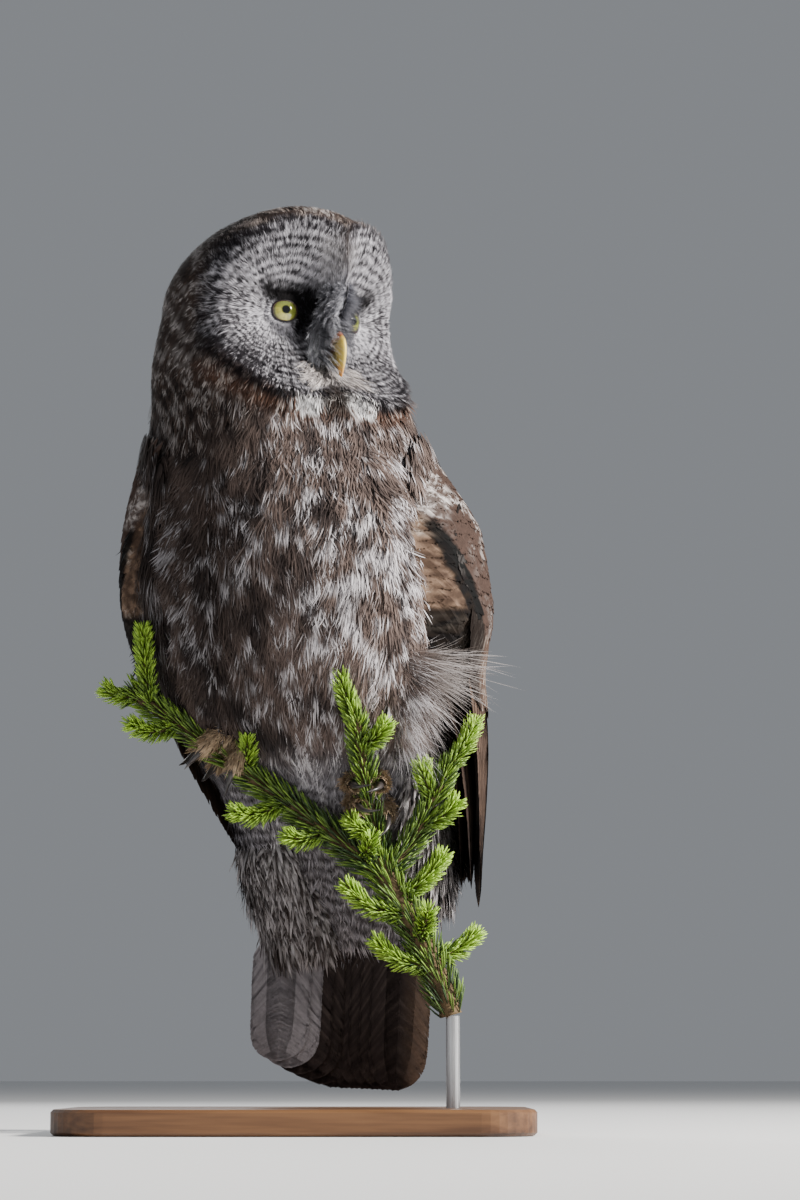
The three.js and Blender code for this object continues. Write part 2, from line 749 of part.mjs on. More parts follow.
/** The fleshy root that the tail feathers spring from. */
function tailBlock() {
  const axis = TAIL_TIP.clone().sub(TAIL_ROOT);
  const rings = [0, 0.5, 1].map((along) => {
    const centre = TAIL_ROOT.clone().addScaledVector(axis, (along * TAIL_BLOCK.length) / axis.length());
    const depth = TAIL_BLOCK.depth * (1 - TAIL_BLOCK.taper * along);
    return Array.from({ length: TAIL_BLOCK.sides }, (_, index) => {
      const angle = (2 * Math.PI * index) / TAIL_BLOCK.sides;
      return tailPoint(centre, TAIL_BLOCK.side * Math.sin(angle), depth * Math.cos(angle));
    });
  });
  return loft(rings);
}

function tail() {
  const feathers = [];
  for (let pair = 0; pair < TAIL_PAIRS; pair += 1) {
    feathers.push(tailFeather(-1, pair), tailFeather(1, pair));
  }
  return largest(joined([tailBlock(), ...feathers]));
}

// Perch.

const PERCH_PATHS = {
  perch_stem: {
    path: [
      STEM_CUT,
      new THREE.Vector3(107, PERCH_Y, 96),
      new THREE.Vector3(87, PERCH_Y, 142),
      JUNCTION,
      new THREE.Vector3(60, PERCH_Y - 3, 198),
    ],
    radius: [STEM_RADIUS, STEM_RADIUS * 0.9],
  },
  perch_branch: {
    path: [JUNCTION, new THREE.Vector3(-20, PERCH_Y, 246), BRANCH_END],
    radius: [BRANCH_RADIUS, BRANCH_RADIUS * 0.7],
  },
  perch_twig_middle: {
    path: [JUNCTION, TWIG_MIDDLE_GRIP, TWIG_MIDDLE_END],
    radius: [TWIG_RADIUS, TWIG_RADIUS * 0.7],
  },
  perch_twig_right: {
    path: [JUNCTION, new THREE.Vector3(88, PERCH_Y - 4, 218), TWIG_RIGHT_END],
    radius: [TWIG_RADIUS, TWIG_RADIUS * 0.65],
  },
};

function perchPiece(name, grow = 0) {
  const { path, radius } = PERCH_PATHS[name];
  const radiusAt = (along) => lerp(radius[0], radius[1], along) + grow;
  return tube(path, radiusAt, PERCH_SIDES, PERCH_STEPS);
}

/** The perch's pieces: each is cut clear of those before it. */
function perchPieces() {
  const pieces = new Map();
  const cutters = [];
  for (const name of Object.keys(PERCH_PATHS)) {
    const whole = perchPiece(name);
    pieces.set(name, cutters.length ? cut(whole, cutters) : whole);
    cutters.push(perchPiece(name, SOCKET_GAP));
  }
  const level = new THREE.Vector3(0, 0, STEM_CUT_LEVEL);
  pieces.set("perch_stem", beyond(pieces.get("perch_stem"), UP, level));
  return { pieces, cutters };
}

// Legs, feet and claws.

/** Where a foot holds a piece of the perch: the axis it grips and the side its palm is on. */
function gripOn(name, share, palmSide) {
  const { path, radius } = PERCH_PATHS[name];
  const curve = new THREE.CatmullRomCurve3(path, false, "centripetal");
  const along = curve.getTangentAt(share);
  const out = palmSide.clone().addScaledVector(along, -palmSide.dot(along)).normalize();
  return { centre: curve.getPointAt(share), along, out, hold: GRIP_PRESS * radius[0] };
}

function rightGrip() {
  const share = (JUNCTION.x - RIGHT_GRIP_X) / (JUNCTION.x - BRANCH_END.x);
  return gripOn("perch_branch", share, UP);
}

function leftGrip() {
  return gripOn("perch_twig_middle", LEFT_GRIP_ALONG, new THREE.Vector3(0, 1, 0));
}

/** A point round the gripped axis: turned from the palm's side, at a distance and along the perch. */
function gripPoint(grip, degrees, distance, along) {
  const across = new THREE.Vector3().crossVectors(grip.along, grip.out);
  return grip.centre
    .clone()
    .addScaledVector(grip.out, distance * Math.cos(degrees * DEGREE))
    .addScaledVector(across, distance * Math.sin(degrees * DEGREE))
    .addScaledVector(grip.along, along);
}

function toePath(grip, toe) {
  const distance = grip.hold + TOE_RADIUS;
  return [-0.05, 0.3, 0.65, 1].map((share) => {
    const away = distance + TOE_ARCH * (1 - share);
    return gripPoint(grip, toe.wrap * toe.reach * share, away, lerp(toe.along, toe.splay, share));
  });
}

function toeTube(grip, toe, grow) {
  const pads = (along) => TOE_PAD * Math.cos(2 * Math.PI * TOE_PADS * along);
  const swell = (along) => 1 - TOE_TAPER * along + pads(along);
  const radiusAt = (along) => TOE_RADIUS * swell(along) + grow;
  return tube(toePath(grip, toe), radiusAt, TOE_SIDES, TOE_STEPS);
}

/** A whole foot, up to the flat of its ankle. */
function foot(grip) {
  const whole = palmAndToes(grip, 0);
  return beyond(whole, grip.out.clone().negate(), gripPoint(grip, 0, grip.hold + ANKLE_OUT, 0));
}

function palmAndToes(grip, grow) {
  const across = new THREE.Vector3().crossVectors(grip.along, grip.out);
  const centre = gripPoint(grip, 0, grip.hold + PALM.out, 0);
  const lengths = [PALM.along + grow, PALM.out + grow, PALM.across + grow];
  const palm = ellipsoid(centre, [grip.along, grip.out, across], lengths, 1);
  return joined([palm, ...TOES.map((toe) => toeTube(grip, toe, grow))]);
}

/** A claw, curving on from the end of its toe round the perch. */
function claw(grip, toe) {
  const path = toePath(grip, toe);
  const end = path.at(-1);
  const ahead = end.clone().sub(path.at(-2)).normalize();
  const inward = grip.centre.clone().addScaledVector(grip.along, toe.splay).sub(end).normalize();
  const route = CLAW_LINE.map((place) =>
    end
      .clone()
      .addScaledVector(ahead, SOCKET_GAP + place.ahead * CLAW_LENGTH)
      .addScaledVector(inward, place.inward * CLAW_LENGTH),
  );
  return tube(route, (along) => lerp(CLAW_RADIUS, CLAW_TIP_RADIUS, along), 7, 5);
}

function leg(grip, side, grow = 0) {
  const ankle = gripPoint(grip, 0, grip.hold + PALM.out, 0);
  const hip = ankle.clone().add(new THREE.Vector3(-side * HIP.inward, HIP.back, HIP.up));
  const middle = ankle.clone().lerp(hip, 0.5).add(new THREE.Vector3(0, -LEG_BOW, 0));
  const radiusAt = (along) => {
    const nearTop = clamp((along - LEG_ROUNDED_FROM) / (1 - LEG_ROUNDED_FROM), 0, 0.95);
    const swell = Math.min(1, along * LEG_SWELL);
    return lerp(LEG_BOTTOM_RADIUS, LEG_TOP_RADIUS, swell) * Math.sqrt(1 - nearTop ** 2) + grow;
  };
  const whole = tube([ankle, middle, hip], radiusAt, 10, 5);
  return beyond(whole, grip.out, gripPoint(grip, 0, grip.hold + ANKLE_OUT + GAP - grow, 0));
}

// Display stand.

function standBase() {
  const outline = new THREE.Shape();
  const [halfWidth, halfDepth] = [BASE.width / 2 - BASE.bevel, BASE.depth / 2 - BASE.bevel];
  const corner = BASE.corner - BASE.bevel;
  outline.moveTo(-halfWidth + corner, -halfDepth);
  outline.absarc(halfWidth - corner, -halfDepth + corner, corner, -Math.PI / 2, 0, false);
  outline.absarc(halfWidth - corner, halfDepth - corner, corner, 0, Math.PI / 2, false);
  outline.absarc(-halfWidth + corner, halfDepth - corner, corner, Math.PI / 2, Math.PI, false);
  outline.absarc(-halfWidth + corner, -halfDepth + corner, corner, Math.PI, 1.5 * Math.PI, false);
  const geometry = new THREE.ExtrudeGeometry(outline, {
    depth: BASE.height - 2 * BASE.bevel,
    bevelThickness: BASE.bevel,
    bevelSize: BASE.bevel,
    bevelSegments: 1,
    curveSegments: BASE_CORNER_STEPS,
  });
  geometry.translate(0, 0, BASE.bevel);
  return solidFromGeometry(geometry);
}

function standRod() {
  const length = STEM_CUT_LEVEL - GAP - (BASE.height + GAP);
  const rod = new THREE.CylinderGeometry(ROD_RADIUS, ROD_RADIUS, length, ROD_SIDES);
  rod.rotateX(Math.PI / 2);
  rod.translate(STEM_CUT.x, STEM_CUT.y, BASE.height + GAP + length / 2);
  return solidFromGeometry(rod);
}

// The model.

const owl = new THREE.Group();

function add(name, solid, look) {
  const mesh = solid.getMesh();
  const geometry = new THREE.BufferGeometry();
  geometry.setAttribute("position", new THREE.BufferAttribute(new Float32Array(mesh.vertProperties), 3));
  geometry.setIndex(new THREE.BufferAttribute(new Uint32Array(mesh.triVerts), 1));
  geometry.computeVertexNormals();
  const part = new THREE.Mesh(geometry, new THREE.MeshStandardMaterial(LOOKS[look]));
  part.name = name;
  owl.add(part);
}

/** The plumage loft, parted at the neck and above the tail coverts by thin cuts. */
function partedBody() {
  const whole = bodyLoft(0);
  const level = (z) => new THREE.Vector3(0, 0, z);
  const down = UP.clone().negate();
  const dipped = UP.clone().applyAxisAngle(HEAD_LEFT, -NECK_TOP_DIP);
  const neckTop = new THREE.Vector3(HEAD_CENTRE.x, HEAD_CENTRE.y, NECK_TOP_Z);
  const aboveNeck = neckTop.clone().addScaledVector(dipped, GAP);
  return {
    coverts: beyond(whole, down, level(COVERTS_TOP_Z - GAP)),
    torso: beyond(beyond(whole, UP, level(COVERTS_TOP_Z)), down, level(NECK_BOTTOM_Z - GAP)),
    neck: beyond(beyond(whole, UP, level(NECK_BOTTOM_Z)), dipped.clone().negate(), neckTop),
    head: beyond(whole, dipped, aboveNeck),
  };
}

function addHead(head) {
  const sockets = [-1, 1].map((side) => eyeball(side, SOCKET_GAP));
  const withLids = joined([head, lids(-1), lids(1)]);
  const upper = cut(upperBill(), nostrils());
  const lower = cut(lowerBill(), [upperBill(SOCKET_GAP)]);
  const bills = [upperBill(SOCKET_GAP), lowerBill(SOCKET_GAP)];
  add("head", cut(withLids, [...sockets, ...bills]), "face");
  add("eye_right", eyeball(-1, 0), "eye");
  add("eye_left", eyeball(1, 0), "eye");
  add("bill_upper", upper, "horn");
  add("bill_lower", lower, "horn");
}

function addFeet(grips, perchCutters) {
  for (const { name, side, grip } of grips) {
    add(`leg_${name}`, cut(leg(grip, side), perchCutters), "plumage");
    add(`foot_${name}`, cut(foot(grip), perchCutters), "toes");
    for (const toe of TOES) {
      add(`claw_${name}_${toe.name}`, cut(claw(grip, toe), perchCutters), "claw");
    }
  }
}

const { torso, neck, head, coverts } = partedBody();
const { pieces: perch, cutters: perchCutters } = perchPieces();
const grips = [
  { name: "right", side: -1, grip: rightGrip() },
  { name: "left", side: 1, grip: leftGrip() },
];
const bodySleeve = bodyLoft(SLEEVE);
const legSleeves = grips.map(({ grip, side }) => leg(grip, side, SOCKET_GAP));
const footSleeves = grips.map(({ grip }) => palmAndToes(grip, SOCKET_GAP));

addHead(head);
add("neck", largest(neck), "plumage");
add("torso", cut(torso, [...legSleeves, ...footSleeves, ...perchCutters]), "plumage");
add("tail_coverts", largest(coverts), "plumage");
add("wing_right", wing(-1, bodySleeve), "flight");
add("wing_left", wing(1, bodySleeve), "flight");
add("tail", tail(), "flight");
addFeet(grips, perchCutters);
perch.forEach((piece, name) => add(name, piece, "bark"));
add("stand_rod", standRod(), "steel");
add("stand_base", standBase(), "wood");

export default owl;
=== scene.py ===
"""Great grey owl, life size, on a cut spruce top held by a plain display stand.

The shapes below are worked out in millimetres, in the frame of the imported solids, and become
metres in Blender. The owl faces -Y and its own left side lies towards +X.
"""

import bpy
import numpy as np
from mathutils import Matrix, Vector


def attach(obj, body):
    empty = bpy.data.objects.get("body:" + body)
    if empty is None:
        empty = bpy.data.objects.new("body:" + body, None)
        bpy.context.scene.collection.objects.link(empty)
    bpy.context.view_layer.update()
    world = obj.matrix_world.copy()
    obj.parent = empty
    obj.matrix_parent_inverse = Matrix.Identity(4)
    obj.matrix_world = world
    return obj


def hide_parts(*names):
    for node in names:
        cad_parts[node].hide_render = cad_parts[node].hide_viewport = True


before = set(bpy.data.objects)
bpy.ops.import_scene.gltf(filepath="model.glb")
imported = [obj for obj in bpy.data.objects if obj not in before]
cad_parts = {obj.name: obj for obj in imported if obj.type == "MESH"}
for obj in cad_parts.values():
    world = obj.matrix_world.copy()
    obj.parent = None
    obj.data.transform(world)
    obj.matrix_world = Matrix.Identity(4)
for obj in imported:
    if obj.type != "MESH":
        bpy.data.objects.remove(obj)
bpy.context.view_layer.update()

MM = 0.001
rng = np.random.default_rng(17)
UP = np.array([0.0, 0.0, 1.0])
TINT_RANGE = (0.003, 0.9)

# Camera: where it stands and what it aims at, and the height of its frame at the aim's distance.
CAMERA_PLACE = np.array([74.0, -2475.7, 41.9])
CAMERA_AIM = np.array([74.0, 0.0, 389.8])
FRAME_HEIGHT = 888.0
SENSOR = 36.0

# The whole bird, as in the solids.
CROWN_Z = 674.0
CROWN_MARGIN = 0.5
HEAD_Z = 600.0
HEAD_TURN = np.radians(38)
BODY_TURN = np.radians(-12)
TWIST_FROM_Z = 430.0
TWIST_TO_Z = 565.0
DOME_POWER = 2.12
CROWN_FORWARD = 27.0
CROWN_LEAN = 1.5
HEAD_ROUNDNESS = 2.35
BODY_ROUNDNESS = 2.15

# Plumage sections: level, centre, half width, and reach in front of the centre and behind it.
SECTIONS = {
    "z": (148, 176, 210, 252, 297, 332, 366, 404, 446, 487, 525, 560, 600),
    "x": (33, 35, 31, 21, 8, 3, 0, -3, -5, -9, -14, -18, -17),
    "y": (60, 54, 43, 26, 12, 4, -2, -5, -6, -9, -13, -17, -19),
    "side": (60, 73, 79, 84, 102, 112, 121, 123, 118, 107, 98, 92, 87),
    "front": (15, 33, 47, 63, 90, 102, 107, 111, 107, 97, 90, 87, 87),
    "back": (15, 31, 47, 68, 86, 93, 98, 100, 98, 92, 91, 89, 80),
}
COAT_LOW_Z = 148.0

# The face, in the head's frame: to its side, forward, and up from the middle of the head.
EYE_SIDE = 32.0
EYE_FORWARD = 55.0
EYE_UP = -9.0
EYE_SPLAY = np.radians(20)
EYEBALL_RADIUS = 13.0
LEFT_GAZE = np.radians(15)
DISH_DEPTH = 34.0
DISH_RADIUS = 66.0
CHIN = {"depth": 14.0, "up": -48.0, "half_width": 18.0, "half_height": 15.0}
BRIDGE = {"height": 19.0, "half_width": 9.0, "rise": 20.0, "fall": 14.0}
DISC_SIDE = 28.0
DISC_RADIUS = 64.0
RIM_HEIGHT = 3.5
RIM_WIDTH = 3.5
FACE_FROM = {"share": (0.12, 0.5), "up": (-95, -70)}


def unit(vectors):
    return vectors / np.maximum(np.linalg.norm(vectors, axis=-1, keepdims=True), 1e-9)


def spoke(turn, first, second):
    """Directions at a turn from the first one towards the second."""
    turn = np.asarray(turn)[..., None]
    return np.cos(turn) * first + np.sin(turn) * second


def round_turns(count):
    return np.linspace(0, 2 * np.pi, count, endpoint=False)


def smoothstep(value, low, high):
    """0 up to low, 1 from high on, and smoothly up between them."""
    share = np.clip((value - low) / (high - low), 0, 1)
    return share * share * (3 - 2 * share)


def between(value, low, full, fading, gone):
    """1 from full to fading, and smoothly down to 0 outside them."""
    return smoothstep(value, low, full) * (1 - smoothstep(value, fading, gone))


def mix(low, high, share):
    """The value at a share of the way from low to high."""
    return low + (high - low) * share


def curve_value(places, values, place):
    """A smooth curve through values at places, with the slope of its neighbours at each."""
    places = np.asarray(places, float)
    values = np.asarray(values, float)
    place = np.clip(place, places[0], places[-1])
    low = np.clip(np.searchsorted(places, place) - 1, 0, len(places) - 2)
    before = np.maximum(low - 1, 0)
    after = np.minimum(low + 2, len(places) - 1)
    span = places[low + 1] - places[low]
    along = (place - places[low]) / span
    start = (values[low + 1] - values[before]) / (places[low + 1] - places[before]) * span
    end = (values[after] - values[low]) / (places[after] - places[low]) * span
    rise = values[low + 1] - values[low]
    bend = 3 * rise - 2 * start - end
    twist = start + end - 2 * rise
    return values[low] + along * (start + along * (bend + along * twist))


def section_at(z):
    """The body's section at each level, as arrays."""
    z = np.asarray(z, float)
    level = np.minimum(z, HEAD_Z)
    section = {key: curve_value(SECTIONS["z"], SECTIONS[key], level) for key in SECTIONS if key != "z"}
    headwards = smoothstep(z, TWIST_FROM_Z, TWIST_TO_Z)
    rise = np.clip((z - HEAD_Z) / (CROWN_Z - HEAD_Z), 0, 1)
    shrink = (1 - rise**DOME_POWER) ** (1 / DOME_POWER)
    for key in ("side", "front", "back"):
        section[key] = section[key] * shrink
    section["x"] = section["x"] + CROWN_FORWARD * rise**CROWN_LEAN * np.sin(HEAD_TURN)
    section["y"] = section["y"] - CROWN_FORWARD * rise**CROWN_LEAN * np.cos(HEAD_TURN)
    section["turn"] = mix(BODY_TURN, HEAD_TURN, headwards)
    section["power"] = mix(BODY_ROUNDNESS, HEAD_ROUNDNESS, headwards)
    section["z"] = z
    return section


def reach_at(section, angle):
    """How far a section reaches from its middle, at an angle from its front."""
    depth = np.where(np.cos(angle) > 0, section["front"], section["back"])
    depth = np.maximum(depth, 0.01)
    side = np.maximum(section["side"], 0.01)
    power = section["power"]
    across = (np.abs(np.sin(angle)) / side) ** power
    along = (np.abs(np.cos(angle)) / depth) ** power
    return (across + along) ** (-1 / power)


def section_point(section, angle, lift):
    """Points on a section; the angle runs from the front towards the owl's left."""
    reach = reach_at(section, angle) + lift
    heading = angle + section["turn"]
    x = section["x"] + reach * np.sin(heading)
    y = section["y"] - reach * np.cos(heading)
    return np.stack(np.broadcast_arrays(x, y, section["z"]), axis=-1)


def facing(turn):
    """The level direction at a turn from the front towards the owl's left."""
    return np.array([np.sin(turn), -np.cos(turn), 0.0])


def heading_of(points, section):
    """Which way points lie from the middle of their section."""
    return np.arctan2(points[:, 0] - section["x"], section["y"] - points[:, 1])


HEAD_CENTRE = np.array([SECTIONS["x"][-1], SECTIONS["y"][-1], HEAD_Z])
HEAD_LEFT = facing(HEAD_TURN + np.pi / 2)
HEAD_FORWARD = facing(HEAD_TURN)


def head_place(points):
    """How far points lie to the head's left, forward and up from its middle."""
    offset = points - HEAD_CENTRE
    return offset @ HEAD_LEFT, offset @ HEAD_FORWARD, offset[..., 2]


def head_point(side, forward, up):
    """Points that lie this far to the head's left, forward and up from its middle."""
    return (
        HEAD_CENTRE
        + np.multiply.outer(side, HEAD_LEFT)
        + np.multiply.outer(forward, HEAD_FORWARD)
        + np.multiply.outer(up, UP)
    )


def bump(distance, half_width):
    """1 where there is no distance, and smoothly down to nothing away from there."""
    return np.exp(-0.5 * (distance / half_width) ** 2)


def face_relief(side, up):
    """How far the face stands forward of the plain head."""
    from_eye = np.hypot(np.abs(side) - EYE_SIDE, up - EYE_UP) / DISH_RADIUS
    dish = DISH_DEPTH * np.clip(1 - from_eye**2, 0, None) ** 2
    chin = CHIN["depth"] * bump(side, CHIN["half_width"]) * bump(up - CHIN["up"], CHIN["half_height"])
    run = np.where(up > 0, BRIDGE["rise"], BRIDGE["fall"])
    bridge = BRIDGE["height"] * bump(side, BRIDGE["half_width"]) * bump(up, run)
    from_rim = np.hypot(np.abs(side) - DISC_SIDE, up - EYE_UP) - DISC_RADIUS
    return bridge - dish - chin + RIM_HEIGHT * bump(from_rim, RIM_WIDTH)


def body_point(z, heading, lift=0.0):
    """Points of the plumage's surface, with the face's relief."""
    section = section_at(z)
    points = section_point(section, heading - section["turn"], lift)
    side, forward, up = head_place(points)
    facing_share = smoothstep(forward / np.maximum(section["front"], 1), *FACE_FROM["share"])
    relief = facing_share * smoothstep(up, *FACE_FROM["up"]) * face_relief(side, up)
    return points + relief[..., None] * HEAD_FORWARD


def body_frame(z, heading, lift=0.0):
    """Points of the surface and the directions out of it there."""
    step_z = 0.4
    step_heading = 0.006
    high = np.minimum(z + step_z, CROWN_Z - 0.1 * CROWN_MARGIN)
    east = body_point(z, heading + step_heading, lift) - body_point(z, heading - step_heading, lift)
    rise = body_point(high, heading, lift) - body_point(high - 2 * step_z, heading, lift)
    return body_point(z, heading, lift), unit(np.cross(east, rise))


# Noise that is the same in every run.


def hashed(column, row, seed):
    value = np.sin(column * 127.1 + row * 311.7 + seed * 74.7) * 43758.5453
    return value - np.floor(value)


def noise(x, y, seed):
    """Smooth noise from 0 to 1 with cells one unit wide."""
    column = np.floor(x)
    row = np.floor(y)
    right = smoothstep(x - column, 0, 1)
    up = smoothstep(y - row, 0, 1)
    low = mix(hashed(column, row, seed), hashed(column + 1, row, seed), right)
    high = mix(hashed(column, row + 1, seed), hashed(column + 1, row + 1, seed), right)
    return mix(low, high, up)


# Colours of the plumage, as linear light.


def srgb(red, green, blue):
    """A colour given from 0 to 255, as linear light."""
    share = np.array([red, green, blue], float) / 255
    return np.where(share <= 0.04045, share / 12.92, ((share + 0.055) / 1.055) ** 2.4)


SOOT = srgb(28, 25, 27)
DARK = srgb(62, 52, 47)
PALE = srgb(196, 192, 194)
WHITE = srgb(232, 230, 230)


def tinted(low, high, share):
    """The colours at shares of the way from one colour to another."""
    return low + (high - low) * np.asarray(share)[..., None]


def disc_place(side, up):
    """How far a place on the head is from the facial disc's edge, inwards positive."""
    above = (up - EYE_UP) * np.where(up < EYE_UP, 0.9, 0.97)
    return DISC_RADIUS + 3 - np.hypot(np.abs(side) - DISC_SIDE, above)


def face_tint(side, up, grain):
    """The face's speckle, rings, black patches and pale brows; grain goes from strip to strip, -1 to 1."""
    outward = np.abs(side) - EYE_SIDE
    above = up - EYE_UP
    from_eye = np.hypot(outward, above)
    inside = disc_place(side, up)
    angle = np.arctan2(above, outward) + 9 * (side > 0)
    wobble = noise(angle * 3, from_eye / 16, 3)
    brow = bump(above - 30, 14) * bump(np.abs(side) - 20, 22)
    rings = (0.08 + 0.2 * brow) * np.sin(2 * np.pi * (from_eye / 6.2 + 0.7 * wobble))
    rings = rings * smoothstep(np.abs(side), 2, 10)
    curls = 1.2 * noise(angle * 5, from_eye / 9, 4)
    waves = 0.17 * smoothstep(-above, 0, 12) * np.sin(2 * np.pi * (from_eye / 3.9 + curls))
    speck = noise(angle * 44, from_eye / 2.6, 5) - 0.5
    flecks = noise(side / 1.5, up / 1.9, 11) - 0.5
    edge = 1 - smoothstep(inside, 0, 16)
    tone = 0.12 * bump(above - 24, 12) + 0.10 * bump(outward - 14, 14) * bump(above + 8, 12)
    # Darker towards the disc's edge, low down and outwards: partly the face's own darker border, partly
    # painted shade.
    tone = tone - 0.24 * edge - 0.1 * bump(above + 42, 10) - 0.1 * smoothstep(outward, 6, 32)
    tone = tone + 0.16 * bump(from_eye - 12, 7) * smoothstep(-above, -3, 4)
    share = 0.43 + tone + rings + waves + 0.36 * speck + 0.26 * flecks + 0.28 * grain
    tint = tinted(srgb(36, 33, 37), srgb(218, 215, 222), smoothstep(share, 0.16, 0.86))
    inner = bump(np.abs(side), 13) * between(above, -34, -12, 20, 40)
    tint = tinted(tint, srgb(134, 134, 144), 0.6 * inner)
    crescent = bump(np.abs(side) - 8 - 0.008 * (above - 28) ** 2, 5) * between(above, 12, 24, 42, 58)
    tint = tinted(tint, PALE, 0.6 * np.clip(crescent * (1 + 0.6 * grain), 0, 1))
    midline = bump(side + 5 * (noise(up / 6, 0.5, 17) - 0.5), 4.5) * between(above, 20, 34, 50, 70)
    tint = tinted(tint, DARK * 0.7, 0.7 * midline)
    patch = bump(outward + 13.5, 8.0) * bump(above - 6.5, 9.2)
    below = 0.75 * bump(outward + 14.5, 5.0) * bump(above + 12, 8.5)
    trail = 0.85 * bump(above - 11.0 - 0.4 * outward, 6.5) * between(outward, -12, -4, 8, 30)
    black = patch + below + trail
    ragged = noise(side / 1.8, up / 2.6, 16) - 0.5
    tint = tinted(tint, SOOT * 0.5, smoothstep(black + 0.26 * grain + 0.4 * ragged, 0.16, 0.78))
    chin = bump(np.abs(side) - 5, 15) * bump(above + 51, 8)
    return tinted(tint, srgb(120, 114, 114), 0.8 * smoothstep(chin + 0.12 * grain, 0.3, 0.8))


def rim_tint(tint, side, forward, up, grain):
    """The disc's dark rim, a painted shadow line inside its lower edge, the white moustache under it and the
    dark spot between.
    """
    inside = disc_place(side, up)
    front = smoothstep(forward, 5, 40)
    upper = smoothstep(up, -20, 30)
    fleck = noise(side / 2.2, up / 4.0, 13)
    rim = bump(inside + mix(4.0, 1.5, upper), mix(3.8, 2.6, upper)) * front
    dark = tinted(srgb(88, 64, 53), srgb(52, 42, 39), upper)
    dark = tinted(dark, srgb(190, 176, 168), 0.75 * smoothstep(fleck + 0.35 * grain, 0.66, 0.92))
    tint = tinted(tint, dark, np.clip(1.3 * rim * (0.85 + 0.4 * (fleck - 0.5) + 0.25 * grain), 0, 1))
    # Painted shadow: a near black line just inside the disc's lower edge.
    gap = bump(inside - 1.4, 1.6) * front * (1 - smoothstep(up, -30, -10))
    tint = tinted(tint, SOOT, 0.8 * gap)
    middle = side + 8
    low = 1 - smoothstep(up, -54, -44)
    moustache = between(-inside, -7, -3, 4, 10) * front * bump(np.abs(middle) - 19, 10.5) * low
    white = smoothstep(1.1 * moustache + 1.1 * (fleck - 0.5) + 0.35 * grain, 0.5, 0.75)
    tint = tinted(tint, WHITE, white * smoothstep(moustache, 0.1, 0.4))
    spot = bump(middle + 1, 8.5) * bump(up + 80, 11) * front
    return tinted(tint, DARK * 0.6, 0.9 * smoothstep(spot + 0.3 * (fleck - 0.5) + 0.2 * grain, 0.3, 0.7))


def body_tint(points, heading, grain):
    """Grey brown with broken pale blotches down the body, grey with fine dark bars below, painted light on
    the left breast and painted shade on the right.
    """
    z = points[..., 2]
    around = heading * 100.0
    warp = 11 * (noise(around / 13, z / 17, 8) - 0.5)
    blotch = noise((around + warp) / 7.0, (z + 0.8 * warp) / 8.0, 1)
    fine = noise((around - warp) / 2.4, z / 5.0, 2)
    streak = noise((around + 0.3 * warp) / 2.0, z / 16.0, 15)
    broad = noise(around / 34, z / 50, 4)
    pale = 0.46 * blotch + 0.2 * fine + 0.12 * streak + 0.2 * broad + 0.2 * grain
    # Painted light: a few more pale blotches where light falls on the owl's left breast.
    painted_sun = bump(heading - np.radians(28), np.radians(34)) * between(z, 262, 300, 442, 482)
    flank = bump(heading - np.radians(48), np.radians(12)) * between(z, 300, 330, 440, 470)
    upper = smoothstep(z, 420, 470)
    lowest = 1 - smoothstep(z, 246, 282)
    # Painted shade: the owl's right side is darker and has fewer pale blotches.
    shaded = smoothstep(-heading, -0.05, 0.6)
    pale = pale + 0.04 * painted_sun + 0.02 * flank - 0.04 * upper - 0.06 * shaded * (1 - lowest)
    breast = smoothstep(np.cos(heading - 0.3), -0.4, 0.4)
    share = smoothstep(pale, mix(0.58, 0.5, breast), mix(0.86, 0.76, breast))
    depth = np.clip(1.1 * noise((around - warp) / 9, z / 20, 14) + 0.3 * grain, 0, 1)
    field = tinted(srgb(52, 45, 44), srgb(114, 98, 91), depth)
    field = field * mix(0.55, 1.0, breast)[..., None]
    field = tinted(field, srgb(118, 115, 120), 0.85 * lowest)
    tint = tinted(field, srgb(214, 209, 212), share * mix(0.55, 0.9, breast))
    wave = noise(around / 13, z / 19, 6)
    bars = np.sin(2 * np.pi * (z / 7.4 + 1.1 * wave + 0.06 * grain))
    barred = (1 - smoothstep(z, 236, 268)) * smoothstep(bars + 0.5 * (fine - 0.5), 0.1, 0.7)
    clear = (1 - smoothstep(z, 246, 270)) * smoothstep(-bars, 0.1, 0.7)
    tint = tinted(tint, srgb(184, 180, 186), 0.5 * clear)
    # Painted shade darkens the owl's right side above the lowest feathers.
    return tinted(tint, srgb(58, 52, 52), 0.85 * barred) * mix(1.0, 0.54, shaded * (1 - lowest))[..., None]


def crown_tint(points, grain):
    """The crown, nape and sides of the head: dark brown with fine pale mottling."""
    side, forward, up = head_place(points)
    over = side + 0.6 * forward
    down = up + 0.8 * forward
    fleck = noise(over / 2.0, down / 2.6, 7)
    band = noise(over / 6, down / 5, 9)
    share = smoothstep(0.62 * fleck + 0.4 * band + 0.26 * grain, 0.54, 0.84)
    field = tinted(srgb(40, 34, 34), srgb(92, 76, 67), np.clip(0.4 + 0.4 * grain + 0.5 * (band - 0.5), 0, 1))
    return tinted(field, srgb(178, 171, 168), 0.8 * share)


def plumage_tint(points, heading, grain):
    """The plumage's colour anywhere on the bird; skin and coat both take it."""
    side, forward, up = head_place(points)
    z = points[..., 2]
    body = body_tint(points, heading, grain)
    # Painted shade: on the owl's right side the crown's dark colours reach further down the neck.
    painted_shade_drop = 45 * smoothstep(-heading, 0.0, 0.8)
    head = tinted(body, crown_tint(points, grain), smoothstep(z + painted_shade_drop, 505, 550))
    inside = disc_place(side, up)
    on_face = smoothstep(inside, -2, 2) * smoothstep(forward, 8, 34)
    tint = tinted(head, face_tint(side, up, grain), on_face)
    tint = rim_tint(tint, side, forward, up, grain)
    return np.clip(tint, 0.004, 0.9)


# Blender meshes and materials from arrays.


